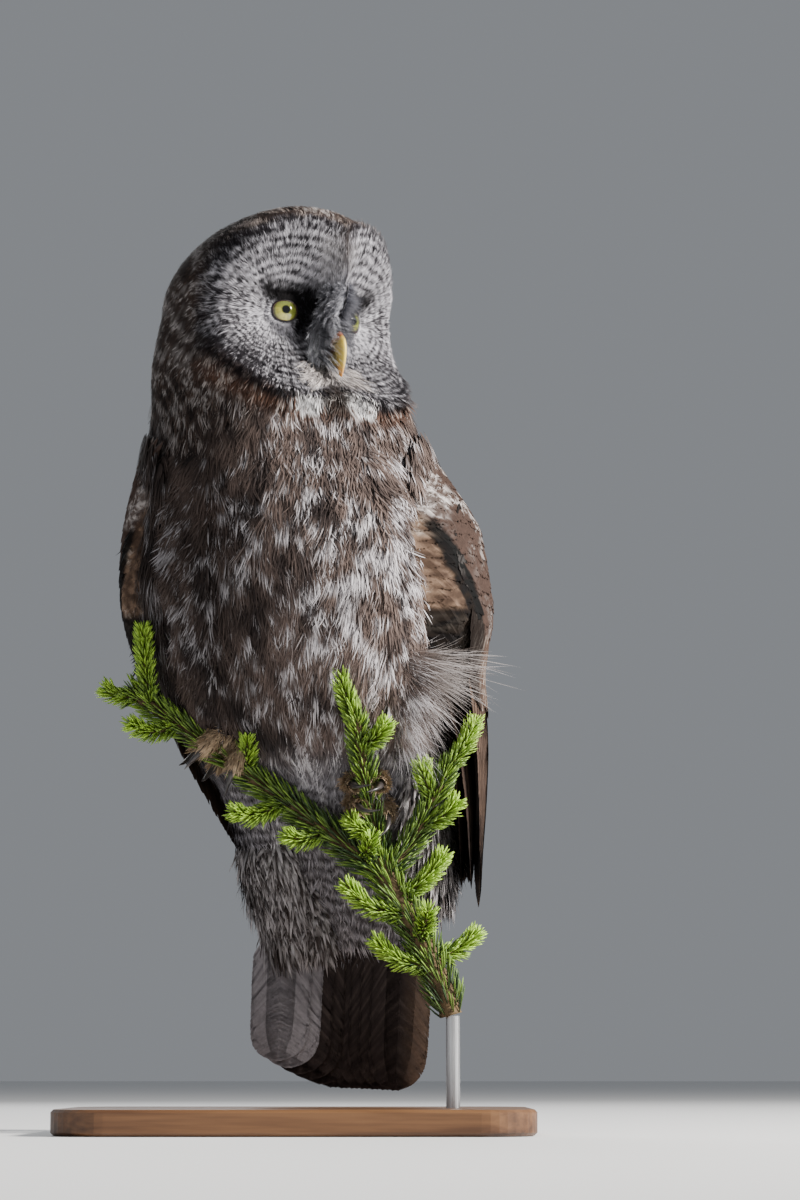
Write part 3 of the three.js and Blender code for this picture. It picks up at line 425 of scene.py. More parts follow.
def node_material(name, roughness, specular=0.3, sockets=()):
    """A new material, its nodes and its main shader."""
    made = bpy.data.materials.new(name)
    made.use_nodes = True
    shader = made.node_tree.nodes["Principled BSDF"]
    values = {"Roughness": roughness, "Specular IOR Level": specular, **dict(sockets)}
    for socket, value in values.items():
        shader.inputs[socket].default_value = value
    return made, made.node_tree, shader


def noise_node(tree, scale, detail=3.0, stretch=(1, 1, 1)):
    """A noise texture in object space; its stretch is how much finer it is on each axis."""
    place = tree.nodes.new("ShaderNodeTexCoord")
    mapping = tree.nodes.new("ShaderNodeMapping")
    mapping.inputs["Scale"].default_value = stretch
    texture = tree.nodes.new("ShaderNodeTexNoise")
    texture.inputs["Scale"].default_value = scale
    texture.inputs["Detail"].default_value = detail
    tree.links.new(place.outputs["Object"], mapping.inputs["Vector"])
    tree.links.new(mapping.outputs["Vector"], texture.inputs["Vector"])
    return texture


def ramp_node(tree, source, stops):
    """Colours over a value: each stop is a place and a colour."""
    ramp = tree.nodes.new("ShaderNodeValToRGB")
    elements = ramp.color_ramp.elements
    while len(elements) < len(stops):
        elements.new(0.5)
    for element, (place, colour) in zip(elements, stops):
        element.position = place
        element.color = (*colour, 1.0)
    tree.links.new(source, ramp.inputs["Fac"])
    return ramp


def add_bump(tree, shader, source, strength, distance_mm):
    """Small bumps on a surface, as high as its source is bright."""
    node = tree.nodes.new("ShaderNodeBump")
    node.inputs["Strength"].default_value = strength
    node.inputs["Distance"].default_value = distance_mm * MM
    tree.links.new(source, node.inputs["Height"])
    tree.links.new(node.outputs["Normal"], shader.inputs["Normal"])


def tint_socket(tree):
    """The colour that comes with the mesh."""
    node = tree.nodes.new("ShaderNodeAttribute")
    node.attribute_name = "tint"
    return node.outputs["Color"]


def grained_material(name, roughness, specular, sockets=(), grain=None, stops=None):
    """A material whose colour comes with the mesh, or runs over its grain from stop to stop.

    grain holds the noise's scale and stretch, and the strength and height of its bumps.
    """
    made, tree, shader = node_material(name, roughness, specular, sockets)
    colour = None if stops else tint_socket(tree)
    if grain:
        scale, stretch, strength, height = grain
        fine = noise_node(tree, scale, stretch=stretch).outputs["Fac"]
        colour = colour or ramp_node(tree, fine, stops).outputs["Color"]
        add_bump(tree, shader, fine, strength, height)
    tree.links.new(colour, shader.inputs["Base Color"])
    return made


def plumage_material():
    """Feathers: their colour comes with the mesh, varied a little by noise."""
    made, tree, shader = node_material("plumage", 0.8, 0.1)
    tint = tint_socket(tree)
    fine = noise_node(tree, 420.0).outputs["Fac"]
    shade = ramp_node(tree, fine, [(0.3, (0.78, 0.78, 0.79)), (0.7, (1.0, 1.0, 1.0))])
    blend = tree.nodes.new("ShaderNodeMix")
    blend.data_type = "RGBA"
    blend.blend_type = "MULTIPLY"
    blend.inputs["Factor"].default_value = 1.0
    tree.links.new(tint, blend.inputs["A"])
    tree.links.new(shade.outputs["Color"], blend.inputs["B"])
    tree.links.new(blend.outputs["Result"], shader.inputs["Base Color"])
    return made


def piece(name, slot, replaced, material, points, triangles, tint=None, bake=None):
    """A mesh of triangles from points in millimetres, riding on the bird in place of nodes."""
    mesh = bpy.data.meshes.new(name)
    mesh.vertices.add(len(points))
    mesh.vertices.foreach_set("co", (points * MM).astype(np.float32).ravel())
    mesh.loops.add(3 * len(triangles))
    mesh.loops.foreach_set("vertex_index", triangles.astype(np.int32).ravel())
    mesh.polygons.add(len(triangles))
    mesh.polygons.foreach_set("loop_start", np.arange(0, 3 * len(triangles), 3, dtype=np.int32))
    mesh.polygons.foreach_set("use_smooth", np.ones(len(triangles), bool))
    if tint is not None:
        colours = np.concatenate([tint, np.ones((len(points), 1))], axis=1)
        layer = mesh.color_attributes.new("tint", "FLOAT_COLOR", "POINT")
        layer.data.foreach_set("color", colours.astype(np.float32).ravel())
    if bake is not None:
        layer = mesh.uv_layers.new(name="OFBake")
        layer.data.foreach_set("uv", bake[triangles.ravel()].astype(np.float32).ravel())
    mesh.update(calc_edges=True)
    mesh.materials.append(material)
    made = bpy.data.objects.new(name, mesh)
    bpy.context.scene.collection.objects.link(made)
    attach(made, "root")
    if replaced:
        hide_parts(*replaced)


def merged(parts):
    """One set of arrays from those of several pieces: points, triangles, tint and any more."""
    starts = np.cumsum([0] + [len(part[0]) for part in parts[:-1]])
    shifted = [(part[0], part[1] + start, *part[2:]) for part, start in zip(parts, starts)]
    return tuple(np.concatenate(column) for column in zip(*shifted))


def plumage_piece(name, slot, replaced, parts):
    """A piece of plumage joined from its parts' points, triangles, tints and bake maps."""
    points, triangles, tint, bake = merged(parts)
    piece(name, slot, replaced, PLUMAGE, points, triangles, np.clip(tint, *TINT_RANGE), bake)


def strip_ladder(steps):
    """Triangles of one strip of pairs of points that ends in a tip."""
    ladder = [(2 * k, 2 * k + 1, 2 * k + 3) for k in range(steps - 1)]
    ladder += [(2 * k, 2 * k + 3, 2 * k + 2) for k in range(steps - 1)]
    return ladder + [(2 * steps - 2, 2 * steps - 1, 2 * steps)]


def grid_triangles(rows, columns, wrap=False):
    """Triangles of a grid of points; wrap joins the last column to the first."""
    row, column = np.meshgrid(np.arange(rows - 1), np.arange(columns - (not wrap)), indexing="ij")
    here = row * columns + column
    right = row * columns + (column + 1) % columns
    low = np.stack([here, right, right + columns], -1).reshape(-1, 3)
    high = np.stack([here, right + columns, here + columns], -1).reshape(-1, 3)
    return np.concatenate([low, high])


def capped_triangles(rows, columns):
    """Triangles of rings of points; two more points, after the rings, close the two ends."""
    ring = np.arange(columns)
    after = (ring + 1) % columns
    last = (rows - 1) * columns
    low = np.stack([after, ring, np.full(columns, rows * columns)], -1)
    high = np.stack([last + ring, last + after, np.full(columns, rows * columns + 1)], -1)
    return np.concatenate([grid_triangles(rows, columns, wrap=True), low, high])


def repeated(cells, count, each):
    """One shape's triangles for as many shapes, each with the same number of points."""
    return (np.arange(count)[:, None, None] * each + np.array(cells)).reshape(-1, 3)


# The coat: loose feathers, each a fan of tapering strips from its root.

# The size of one feather's place on the bake map.
PATCH = 0.003


def unwrapped(z, heading):
    """A root's place on the unwrap of the skin: round the body, and up along its surface."""
    around = (heading / (2 * np.pi)) % 1.0
    up = np.interp(z, ARC_LEVELS, ARC_LENGTHS) / ARC_LENGTHS[-1]
    return np.stack([0.01 + 0.97 * around, 0.01 + 0.97 * up], -1)


def head_unwrapped(root):
    """A root's place on the unwrap of the skin, for feathers of the face."""
    return unwrapped(root[:, 2], np.arctan2(root[:, 0] - HEAD_CENTRE[0], HEAD_CENTRE[1] - root[:, 1]))


def tufts(roots, look):
    """Strips for many feathers: points, triangles, each point's feather and place on it, and bake map.

    roots holds point, out, lie, length, width and bake, one row for each feather. look holds
    strips, steps, fan, stand, round, ragged, camber, tangle, sway, thick and hug.
    """
    count = len(roots["point"])
    strips = look["strips"]
    steps = look["steps"]
    shape = (count, strips)
    long = roots["length"][:, None]
    wide = roots["width"][:, None, None]
    across = np.linspace(-1, 1, strips) + rng.normal(0, 0.5 / strips, shape)
    reach = 1 - look["round"] * across**2 + rng.normal(0, look["ragged"], shape)
    along = np.linspace(0, 1, steps + 1)
    length = (long * reach)[..., None] * along
    splay = wide * across[..., None] * along ** look["fan"]
    splay = splay + wide * rng.normal(0, look["tangle"], (*shape, 1)) * along**2
    splay = splay + (long * rng.normal(0, look["sway"], (count, 1)))[..., None] * along**2
    stand = long[..., None] * look["stand"] * (along - 0.35 * along**2)
    stand = stand * (1 + rng.normal(0, 0.22, (*shape, 1)))
    stand = stand - look["camber"] * wide * (across**2)[..., None] * along - look["hug"] * length**2
    out = roots["out"][:, None, None]
    lie = roots["lie"][:, None, None]
    side = np.cross(out, lie)
    middle = roots["point"][:, None, None] + lie * length[..., None]
    middle = middle + side * splay[..., None] + out * stand[..., None]
    half = wide / strips * look["thick"] * (1 - 0.75 * along[:-1] ** 2)
    edge = side * half[..., None]
    pairs = np.stack([middle[:, :, :-1] - edge, middle[:, :, :-1] + edge], axis=3)
    points = np.concatenate([pairs.reshape(*shape, 2 * steps, 3), middle[:, :, -1:]], axis=2)
    each = 2 * steps + 1
    spot = {
        "across": across[..., None],
        "along": np.append(np.repeat(along[:-1], 2), along[-1]),
        "grain": rng.uniform(-1, 1, (*shape, 1)),
        "feather": np.arange(count)[:, None, None],
    }
    spot = {key: np.broadcast_to(value, (*shape, each)).reshape(-1) for key, value in spot.items()}
    shift = np.stack([0.5 * np.clip(spot["across"], -1, 1), spot["along"]], -1) * PATCH
    triangles = repeated(strip_ladder(steps), count * strips, each)
    return points.reshape(-1, 3), triangles, spot, roots["bake"][spot["feather"]] + shift


def grown(point, out, lie, bake, length, width, look, uneven, shares):
    """Feathers at their roots, as tufts gives them, with the grain that their colour follows.

    uneven is how much the length varies; shares is how much of the grain goes from strip to strip
    and from feather to feather.
    """
    count = len(point)
    roots = {"point": point, "out": out, "lie": lie, "bake": bake}
    roots["length"] = length * rng.uniform(*uneven, count)
    roots["width"] = width * rng.uniform(0.85, 1.15, count)
    points, triangles, spot, bake = tufts(roots, look)
    grain = shares[0] * spot["grain"] + rng.normal(0, shares[1], count)[spot["feather"]]
    return points, triangles, spot, bake, np.clip(grain, -1.4, 1.4)


def arc_table():
    """Levels and how far up the surface each is, from the coat's lower end."""
    share = np.linspace(0, 1, 300)
    head = HEAD_Z + (CROWN_Z - 0.6 - HEAD_Z) * np.sin(share * np.pi / 2)
    levels = np.concatenate([np.linspace(COAT_LOW_Z, HEAD_Z, 400), head])
    lengths = []
    for heading in np.radians([0, 90, 180, 270]):
        line = body_point(levels, np.full_like(levels, heading + HEAD_TURN))
        lengths.append(np.append(0, np.cumsum(np.linalg.norm(np.diff(line, axis=0), axis=1))))
    return levels, np.mean(lengths, axis=0)


ARC_LEVELS, ARC_LENGTHS = arc_table()


def staggered(count, index, uneven):
    """Slightly uneven shares of the way along a row, every other row half a step further."""
    return (np.arange(count) + 0.5 * (index % 2) + rng.normal(0, uneven, count)) / count


def coat_roots(low, high, spacing):
    """Staggered, slightly uneven rows of places between two levels, as levels and headings."""
    first, last = np.interp([low, high], ARC_LEVELS, ARC_LENGTHS)
    levels = []
    headings = []
    for index, row in enumerate(np.arange(first, last, spacing)):
        section = section_at(np.interp(row, ARC_LENGTHS, ARC_LEVELS))
        around = np.pi * (section["side"] + 0.5 * (section["front"] + section["back"]))
        count = max(int(around / spacing), 3)
        headings.append(2 * np.pi * staggered(count, index, 0.22))
        uneven = row + rng.normal(0, 0.25 * spacing, count)
        levels.append(np.interp(uneven, ARC_LENGTHS, ARC_LEVELS))
    return np.concatenate(levels), np.concatenate(headings)


def lie_at(points, out):
    """Which way the feathers lie: away from the eyes on the face, back over the crown, and down."""
    side, forward, up = head_place(points)
    sign = np.where(side > 0, 1.0, -1.0)
    outward = side - sign * EYE_SIDE
    from_eye = np.multiply.outer(outward, HEAD_LEFT) + np.multiply.outer(up - EYE_UP, UP)
    middle = bump(side, 9.0)[:, None]
    from_bill = np.multiply.outer(np.where(up > -22, 1.0, -1.0), UP)
    face = unit(from_eye) * (1 - middle) + from_bill * middle
    over = -0.9 * HEAD_FORWARD - 0.5 * UP + np.multiply.outer(0.5 * side / 80, HEAD_LEFT)
    on_face = (smoothstep(disc_place(side, up), -8, 4) * smoothstep(forward, 0, 34))[:, None]
    on_head = smoothstep(points[:, 2], 520, 575)[:, None]
    plain = -UP * (1 - on_head) + unit(over) * on_head
    lie = plain * (1 - on_face) + face * on_face
    lie = lie + rng.normal(0, 0.13, lie.shape)
    return unit(lie - np.sum(lie * out, axis=1, keepdims=True) * out)


# Which way the breast faces, and the cosine of the turn from there at which the back starts.
FRONT_TURN = np.radians(10)
BACK_FROM = 0.1


def covered(part, levels, headings):
    """True for the places that are in a part of the bird."""
    if part in ("front", "behind"):
        return (np.cos(headings - FRONT_TURN) > BACK_FROM) == (part == "front")
    if part in ("face", "crown"):
        side, forward, up = head_place(body_point(levels, headings))
        return ((disc_place(side, up) > 0) & (forward > 20)) == (part == "face")
    return np.full(len(levels), True)


def eye_frame(side):
    """An eye's axis and the directions across it, sideways and up."""
    axis = facing(HEAD_TURN + side * EYE_SPLAY)
    across = unit(np.cross(UP, axis))
    return axis, across, np.cross(axis, across)


def in_eye(points):
    """True where a place is on an eye or its lids."""
    inside = np.zeros(len(points), bool)
    for side in (-1, 1):
        axis, across, above = eye_frame(side)
        offset = points - eye_centre(side)
        along = offset @ axis
        over = offset - np.multiply.outer(along, axis)
        turn = np.arctan2(over @ above, over @ across)
        inside |= (np.linalg.norm(over, axis=1) < lid_opening(turn) + LID_WIDTH) & (along > 0)
    return inside


def gaze(side):
    """The way an eye looks: along its axis, but the left one a little towards the bill."""
    return facing(HEAD_TURN + side * EYE_SPLAY - (LEFT_GAZE if side > 0 else 0.0))


def eye_centre(side):
    """The middle of an eyeball."""
    return head_point(side * EYE_SIDE, EYE_FORWARD, EYE_UP) - eye_frame(side)[0] * EYEBALL_RADIUS


def coat(name, levels, headings, depth, length, width, look, feather_share):
    """One piece of the coat; feather_share is how much its colour goes from feather to feather."""
    points, out = body_frame(levels, headings, -depth)
    keep = ~in_eye(points)
    points, out = points[keep], out[keep]
    bake = unwrapped(levels[keep], headings[keep])
    shares = (1 - feather_share, 0.8 * feather_share)
    roots = (points, out, lie_at(points, out), bake)
    places, triangles, spot, bake, grain = grown(*roots, length, width, look, (0.82, 1.18), shares)
    section = section_at(np.clip(places[:, 2], COAT_LOW_Z, CROWN_Z - 1))
    # Each strip darkens towards its root: partly the feathers' own grey down, partly painted shade between
    # them.
    light = mix(0.45, 1.0, smoothstep(spot["along"], 0.1, 0.75)) * (1 + 0.1 * spot["grain"])
    tint = plumage_tint(places, heading_of(places, section), grain) * light[:, None]
    piece(name, "plumage", (), PLUMAGE, places, triangles, tint, bake)


# The skin: its depth under the plumage's surface, how much its colour is darkened as painted shade,
# its rows of points, and the places that the colours of its two closed ends are taken round.
SKIN_DEPTH = {"body": 7.0, "head": 3.5, "eye": 6.0}
SKIN_PAINTED_SHADE = 0.55
SKIN_ROWS = {"from": 150.0, "gap": 5.0, "crown": 26, "columns": 128}
SKIN_ENDS = {"x": (33, 0), "y": (60, -19)}


def skin():
    """The bird's skin under the coat, closed at the crown and below the tail coverts."""
    rise = np.sin(np.linspace(0, 1, SKIN_ROWS["crown"]) * np.pi / 2)
    crown = HEAD_Z + (CROWN_Z - CROWN_MARGIN - HEAD_Z) * rise
    levels = np.concatenate([np.arange(SKIN_ROWS["from"], HEAD_Z, SKIN_ROWS["gap"]), crown])
    z, heading = np.meshgrid(levels, round_turns(SKIN_ROWS["columns"]), indexing="ij")
    depth = mix(SKIN_DEPTH["body"], SKIN_DEPTH["head"], smoothstep(z, 500, 560))
    points = body_point(z, heading, -depth)
    eyes = in_eye(points.reshape(-1, 3)).reshape(z.shape)
    points = points - np.where(eyes, SKIN_DEPTH["eye"], 0.0)[..., None] * HEAD_FORWARD
    ends = [points[0].mean(0), points[-1].mean(0)]
    flat = np.concatenate([points.reshape(-1, 3), ends])
    section = section_at(z)
    heading = heading_of(flat, {key: np.append(section[key], SKIN_ENDS[key]) for key in SKIN_ENDS})
    # Painted shade: the skin takes the plumage's colours, darkened where it shows between the feathers.
    tint = plumage_tint(flat, heading, np.zeros(len(flat))) * SKIN_PAINTED_SHADE
    triangles = capped_triangles(*z.shape)
    nodes = ("head", "neck", "torso", "tail_coverts", "leg_left", "leg_right")
    piece("skin", "plumage", nodes, PLUMAGE, flat, triangles, tint, unwrapped(flat[:, 2], heading))


PLUMAGE = plumage_material()

# How each kind of feather is built, as tufts takes it.
BODY_LOOK = {
    "strips": 13, "steps": 4, "fan": 0.5, "stand": 0.26, "round": 0.3, "ragged": 0.1,
    "camber": 0.1, "tangle": 0.14, "sway": 0.12, "thick": 1.1, "hug": 0.001,
}
NECK_LOOK = dict(BODY_LOOK, strips=11, stand=0.27)
HEAD_LOOK = dict(BODY_LOOK, strips=7, stand=0.26, sway=0.06, thick=1.1, hug=0.01)
FACE_LOOK = dict(BODY_LOOK, strips=7, stand=0.32, fan=0.7, ragged=0.14, sway=0.05, thick=0.8, hug=0.007)
LOW_LOOK = dict(BODY_LOOK, strips=11, steps=6, stand=0.34, ragged=0.14, tangle=0.18)
PLUME_LOOK = dict(
    BODY_LOOK, strips=9, steps=6, fan=1.0, stand=0.25, round=0.3, ragged=0.35,
    tangle=0.35, sway=0.16, thick=0.2,
)
BRISTLE_LOOK = dict(
    BODY_LOOK, strips=9, steps=4, fan=0.8, stand=0.06, round=0.35, ragged=0.12,
    camber=0.0, tangle=0.12, sway=0.04, thick=0.36, hug=0.004,
)
CHIN_LOOK = dict(BRISTLE_LOOK, strips=9, stand=0.2, hug=0.006, tangle=0.45, sway=0.1, thick=0.42)
# Patches of bristles on each side: where their roots are, how far apart, and which way they point.
BRISTLES = [
    {"side": (3, 12), "up": (-46, -20), "gap": 1.4, "towards": (0.4, 0.35, -0.85), "length": 15, "tip": 190},
    {
        "side": (5, 10), "up": (-40, -17), "gap": 1.1,
        "towards": (-0.05, 0.92, -0.39), "length": 26, "tip": 168,
    },
    {"side": (8, 19), "up": (-26, 10), "gap": 2.0, "towards": (0.5, 0.62, -0.25), "length": 9, "tip": 48},
    {"side": (1, 10), "up": (-28, 9), "gap": 1.4, "towards": (0.7, 0.3, -0.5), "length": 12, "tip": 124},
    {"side": (0, 5), "up": (-28, -14), "gap": 1.5, "towards": (0.1, 0.55, -0.84), "length": 9, "tip": 130},
    {
        "side": (2.5, 6.5), "up": (-25, -12), "gap": 1.3,
        "towards": (0.15, 0.64, -0.75), "length": 16, "tip": 150,
    },
]
LEFT_BRISTLES = {
    "side": (11, 22.5), "up": (-27, 2), "gap": 1.2, "towards": (0.3, 0.92, -0.05),
    "length": 14.0, "tip": 110, "width": 2.6, "top": 1.0,
}
CHIN_PATCH = {"side": (1, 21), "up": (-63, -47), "gap": 2.0, "length": 18.5, "width": 2.8}
# Each piece of the coat: the part it covers, its lowest and highest level and the gap between its
# roots, their depth and the feathers' length and width, and how much colour goes from feather to feather.
COATS = [
    ("coat_low", "all", (152, 262, 6.8), (6.0, 25.0, 7.5), LOW_LOOK, 0.55),
    ("coat_breast", "front", (255, 478, 6.9), (6.0, 25.0, 7.4), BODY_LOOK, 0.55),
    ("coat_back", "behind", (255, 478, 7.6), (6.0, 27.0, 8.0), BODY_LOOK, 0.55),
    ("coat_neck", "all", (472, 540, 5.6), (5.5, 19.0, 5.7), NECK_LOOK, 0.45),
    ("coat_crown", "crown", (522, 673, 4.4), (4.8, 11.0, 3.7), HEAD_LOOK, 0.4),
    ("coat_face", "face", (522, 672, 2.9), (3.2, 8.0, 2.1), FACE_LOOK, 0.3),
]


def bristle_rows(sides, ups, spacing):
    """Uneven rows of places on the face, in the head's frame."""
    side, up = np.meshgrid(*(np.arange(low, high + 0.1, spacing) for low, high in (sides, ups)))
    side = side.ravel() + rng.normal(0, 0.3 * spacing, side.size)
    return side, up.ravel() + rng.normal(0, 0.3 * spacing, up.size)


def face_surface(side, up):
    """Places on the face's surface straight in front of places in the head's frame."""
    section = section_at(HEAD_Z + up)
    middle = head_place(np.stack([section["x"], section["y"], section["z"]], -1))
    offset = side - middle[0]
    angle = np.arcsin(np.clip(offset / section["side"], -0.95, 0.95))
    for _ in range(6):
        reach = reach_at(section, angle)
        angle = angle + (offset - reach * np.sin(angle)) / reach
    forward = middle[1] + reach_at(section, angle) * np.cos(angle) + face_relief(side, up)
    return head_point(side, forward, up)


def head_direction(side, forward, up):
    """Directions given as how much they point to the head's left, forward and up."""
    side, forward, up = np.broadcast_arrays(side, forward, up)
    return unit(side[..., None] * HEAD_LEFT + forward[..., None] * HEAD_FORWARD + up[..., None] * UP)


def bristle_set(side, up, direction, length, width, colour, look=None):
    """Loose bristles on the face, as (points, triangles, tint, bake)."""
    root = face_surface(side, up) - 1.5 * HEAD_FORWARD
    out = unit(np.cross(direction, np.cross(HEAD_FORWARD + 0 * direction, direction)) + 1e-6)
    lie = unit(direction + rng.normal(0, 0.09, direction.shape))
    roots = (root, out, lie, head_unwrapped(root))
    bristles = grown(*roots, length, width, look or BRISTLE_LOOK, (0.6, 1.3), (0.8, 0.45))
    points, triangles, spot, bake, grain = bristles
    return points, triangles, colour(spot["along"], grain), bake


def bristle_tint(tip):
    """Grey bristles, dark at their roots; tip is their tips' brightness."""

    def colour(along, grain):
        tint = tinted(srgb(44, 45, 54), srgb(tip, tip, tip + 6), smoothstep(along + 0.25 * grain, -0.1, 0.75))
        return tint * (1 + 0.55 * grain)[:, None]

    return colour


def bristle_patch(sign, row, tip):
    """One patch of bristles on one side of the face; tip is their tips' brightness."""
    side, up = bristle_rows(row["side"], row["up"], row["gap"])
    outward, forward, rise = row["towards"]
    direction = head_direction(sign * outward, forward, rise + 0.02 * (up - np.mean(row["up"])))
    length = row["length"] * mix(1.0, row.get("top", 0.45), smoothstep(up, -4, 9))
    return bristle_set(sign * side, up, direction, length, row.get("width", 1.9), bristle_tint(tip))


def chin_tuft_tint(along, grain):
    """The chin's tufts: grey roots and whitish tips."""
    tint = tinted(srgb(58, 53, 54), srgb(204, 196, 192), smoothstep(along + 0.4 * grain, 0.0, 0.9))
    return tint * (1 + 0.34 * grain)[:, None]


def build_bristles():
    """Bristles over the bill's base, the bridge and the inner corners of the eyes, and the chin's tuft."""
    parts = []
    for sign, shade in ((-1.0, 1.0), (1.0, 0.7)):
        parts += [bristle_patch(sign, row, row["tip"] * shade) for row in BRISTLES]
        if sign > 0:
            parts.append(bristle_patch(sign, LEFT_BRISTLES, LEFT_BRISTLES["tip"]))
        side, up = bristle_rows(CHIN_PATCH["side"], CHIN_PATCH["up"], CHIN_PATCH["gap"])
        direction = head_direction(sign * (0.1 + 0.05 * side), 0.5, -0.85)
        size = (CHIN_PATCH["length"], CHIN_PATCH["width"])
        parts.append(bristle_set(sign * side, up, direction, *size, chin_tuft_tint, CHIN_LOOK))
    plumage_piece("coat_bristles", "face", (), parts)


def build_coat():
    """Every piece of the coat, from the tail coverts to the face."""
    for name, part, rows, size, look, feather_share in COATS:
        levels, headings = coat_roots(*rows)
        keep = covered(part, levels, headings)
        coat(name, levels[keep], headings[keep], *size, look, feather_share)


# Eyes and lids.

IRIS_RADIUS = 8.9
PUPIL_RADIUS = 2.9
EYE_GRID = {"polar": 90, "turns": 72, "reach": np.radians(111.6)}
LID_HALF = {"width": 9.0, "above": 6.5, "below": 7.9}
LID_WIDTH = 0.3
LID_ROUNDNESS = 2.3


def eye_tint(from_axis, turn):
    """Black pupil, green-yellow iris with fine rays and a dark edge, with painted shade above and painted
    light below.
    """
    off_axis = EYEBALL_RADIUS * np.sin(from_axis)
    rays = noise(turn * 14, off_axis / 2.5, 21)
    iris = tinted(srgb(104, 112, 44), srgb(142, 146, 62), rays)
    # Painted light brightens the iris low on its outer side, and painted shade darkens its upper part.
    low = smoothstep(-(0.75 * np.sin(turn) + 0.6 * np.cos(turn)) * off_axis, -0.5, 4.5)
    iris = tinted(iris, srgb(214, 204, 96), 0.8 * low * (0.6 + 0.4 * rays))
    iris = tinted(iris, srgb(84, 92, 52), 0.75 * smoothstep(np.sin(turn) * off_axis, 0.5, 7.0))
    iris = tinted(iris, srgb(84, 88, 42), smoothstep(off_axis, 7.0, 8.6))
    iris = tinted(srgb(90, 94, 42), iris, smoothstep(off_axis, PUPIL_RADIUS, PUPIL_RADIUS + 1.2))
    pupil = smoothstep(off_axis, PUPIL_RADIUS - 0.15, PUPIL_RADIUS + 0.15)
    tint = tinted(np.full(iris.shape, 0.002), iris, pupil)
    return tinted(tint, SOOT * 0.5, smoothstep(off_axis, IRIS_RADIUS - 0.25, IRIS_RADIUS + 0.25))


def build_eye(name, side):
    """An eyeball as rings of points round the way that it looks."""
    rings = np.linspace(0, EYE_GRID["reach"], EYE_GRID["polar"])
    polar, turn = np.meshgrid(rings, round_turns(EYE_GRID["turns"]), indexing="ij")
    axis = gaze(side)
    across = unit(np.cross(UP, axis))
    ring = spoke(turn, across, np.cross(axis, across))
    points = eye_centre(side) + EYEBALL_RADIUS * spoke(polar, axis, ring)
    triangles = grid_triangles(*polar.shape, wrap=True)[:, ::-1]
    tint = eye_tint(polar, turn).reshape(-1, 3)
    piece(f"eyeball_{name}", "eye", [f"eye_{name}"], EYE, points.reshape(-1, 3), triangles, tint)


def lid_opening(turn):
    """Half the lids' opening, from the eye's axis: wide, and flatter above than below."""
    high = np.where(np.sin(turn) > 0, LID_HALF["above"], LID_HALF["below"])
    wide = np.abs(np.cos(turn) / LID_HALF["width"]) ** LID_ROUNDNESS
    return (wide + np.abs(np.sin(turn) / high) ** LID_ROUNDNESS) ** (-1 / LID_ROUNDNESS)


# The lids' rim: how far out from the opening each row of points is, and how far off the eyeball.
LID_PROFILE = [
    (0.0, -0.5), (-0.1, 0.2), (0.2, 0.6), (0.6, 0.6), (1.2, 0.4),
    (2.0, 0.1), (3.0, -0.5), (4.0, -1.4), (5.5, -3.4),
]
LID_LOOK = dict(BODY_LOOK, strips=5, steps=2, fan=0.7, stand=0.2, ragged=0.2, tangle=0.3, hug=0.02)
LID_ROWS = {"columns": 90, "places": (1.1, 1.9, 3.2), "lengths": (3.2, 4.0, 4.6), "width": 1.0}
LID_COLUMNS = 72


def lid_places(side, outward, height, turns):
    """Places round an eye, out from the lids' edge and up from the eyeball, and the ways outward."""
    axis, across, above = eye_frame(side)
    off_axis = lid_opening(turns) + outward
    forward = np.sqrt(np.clip(EYEBALL_RADIUS**2 - off_axis**2, 4, None)) + height
    radial = spoke(turns, across, above)
    return eye_centre(side) + np.multiply.outer(forward, axis) + off_axis[:, None] * radial, radial


def lid_feather_tint(points, grain):
    """The colours that the face has there."""
    side, _, up = head_place(points)
    return face_tint(side, up, grain)


def build_lids(name, side):
    """A thin rim round the opening, and tiny feathers that lie outwards from it."""
    turns = round_turns(LID_COLUMNS)
    rows = [lid_places(side, outward, height, turns)[0] for outward, height in LID_PROFILE]
    points = np.concatenate(rows)
    outward = np.repeat([place for place, _ in LID_PROFILE], len(turns))
    plain = lid_feather_tint(points, np.zeros(len(points))) * 0.6
    rim = tinted(srgb(84, 44, 42), SOOT * 0.6, smoothstep(outward, -0.1, 0.3))
    tint = rim + (plain - rim) * smoothstep(outward, 0.9, 1.6)[:, None]
    tint = tint * (0.8 + 0.4 * noise(np.tile(turns, len(rows)) * 6, outward, 31))[:, None]
    triangles = grid_triangles(len(rows), len(turns), wrap=True)
    piece(f"lids_{name}", "face", (), LID, points, triangles, np.clip(tint, *TINT_RANGE))
    parts = []
    for place, length in zip(LID_ROWS["places"], LID_ROWS["lengths"]):
        turns = round_turns(LID_ROWS["columns"]) + rng.normal(0, 0.02, LID_ROWS["columns"])
        root, radial = lid_places(side, place, 0.3, turns)
        out = np.broadcast_to(eye_frame(side)[0], root.shape)
        lie = radial + 0.1 * out + rng.normal(0, 0.12, root.shape)
        roots = (root, out, lie, head_unwrapped(root))
        parts.append(fluff(*roots, length, LID_ROWS["width"], LID_LOOK, lid_feather_tint))
    plumage_piece(f"coat_lids_{name}", "face", (), parts)


# Bill.

BILL = {
    "upper": {"line": [(77, -25), (90, -34), (79.5, -59)], "half_width": 4.4, "half_depth": 6.8},
    "lower": {"line": [(70, -36), (79, -44), (77, -53)], "half_width": 3.7, "half_depth": 5.0},
}


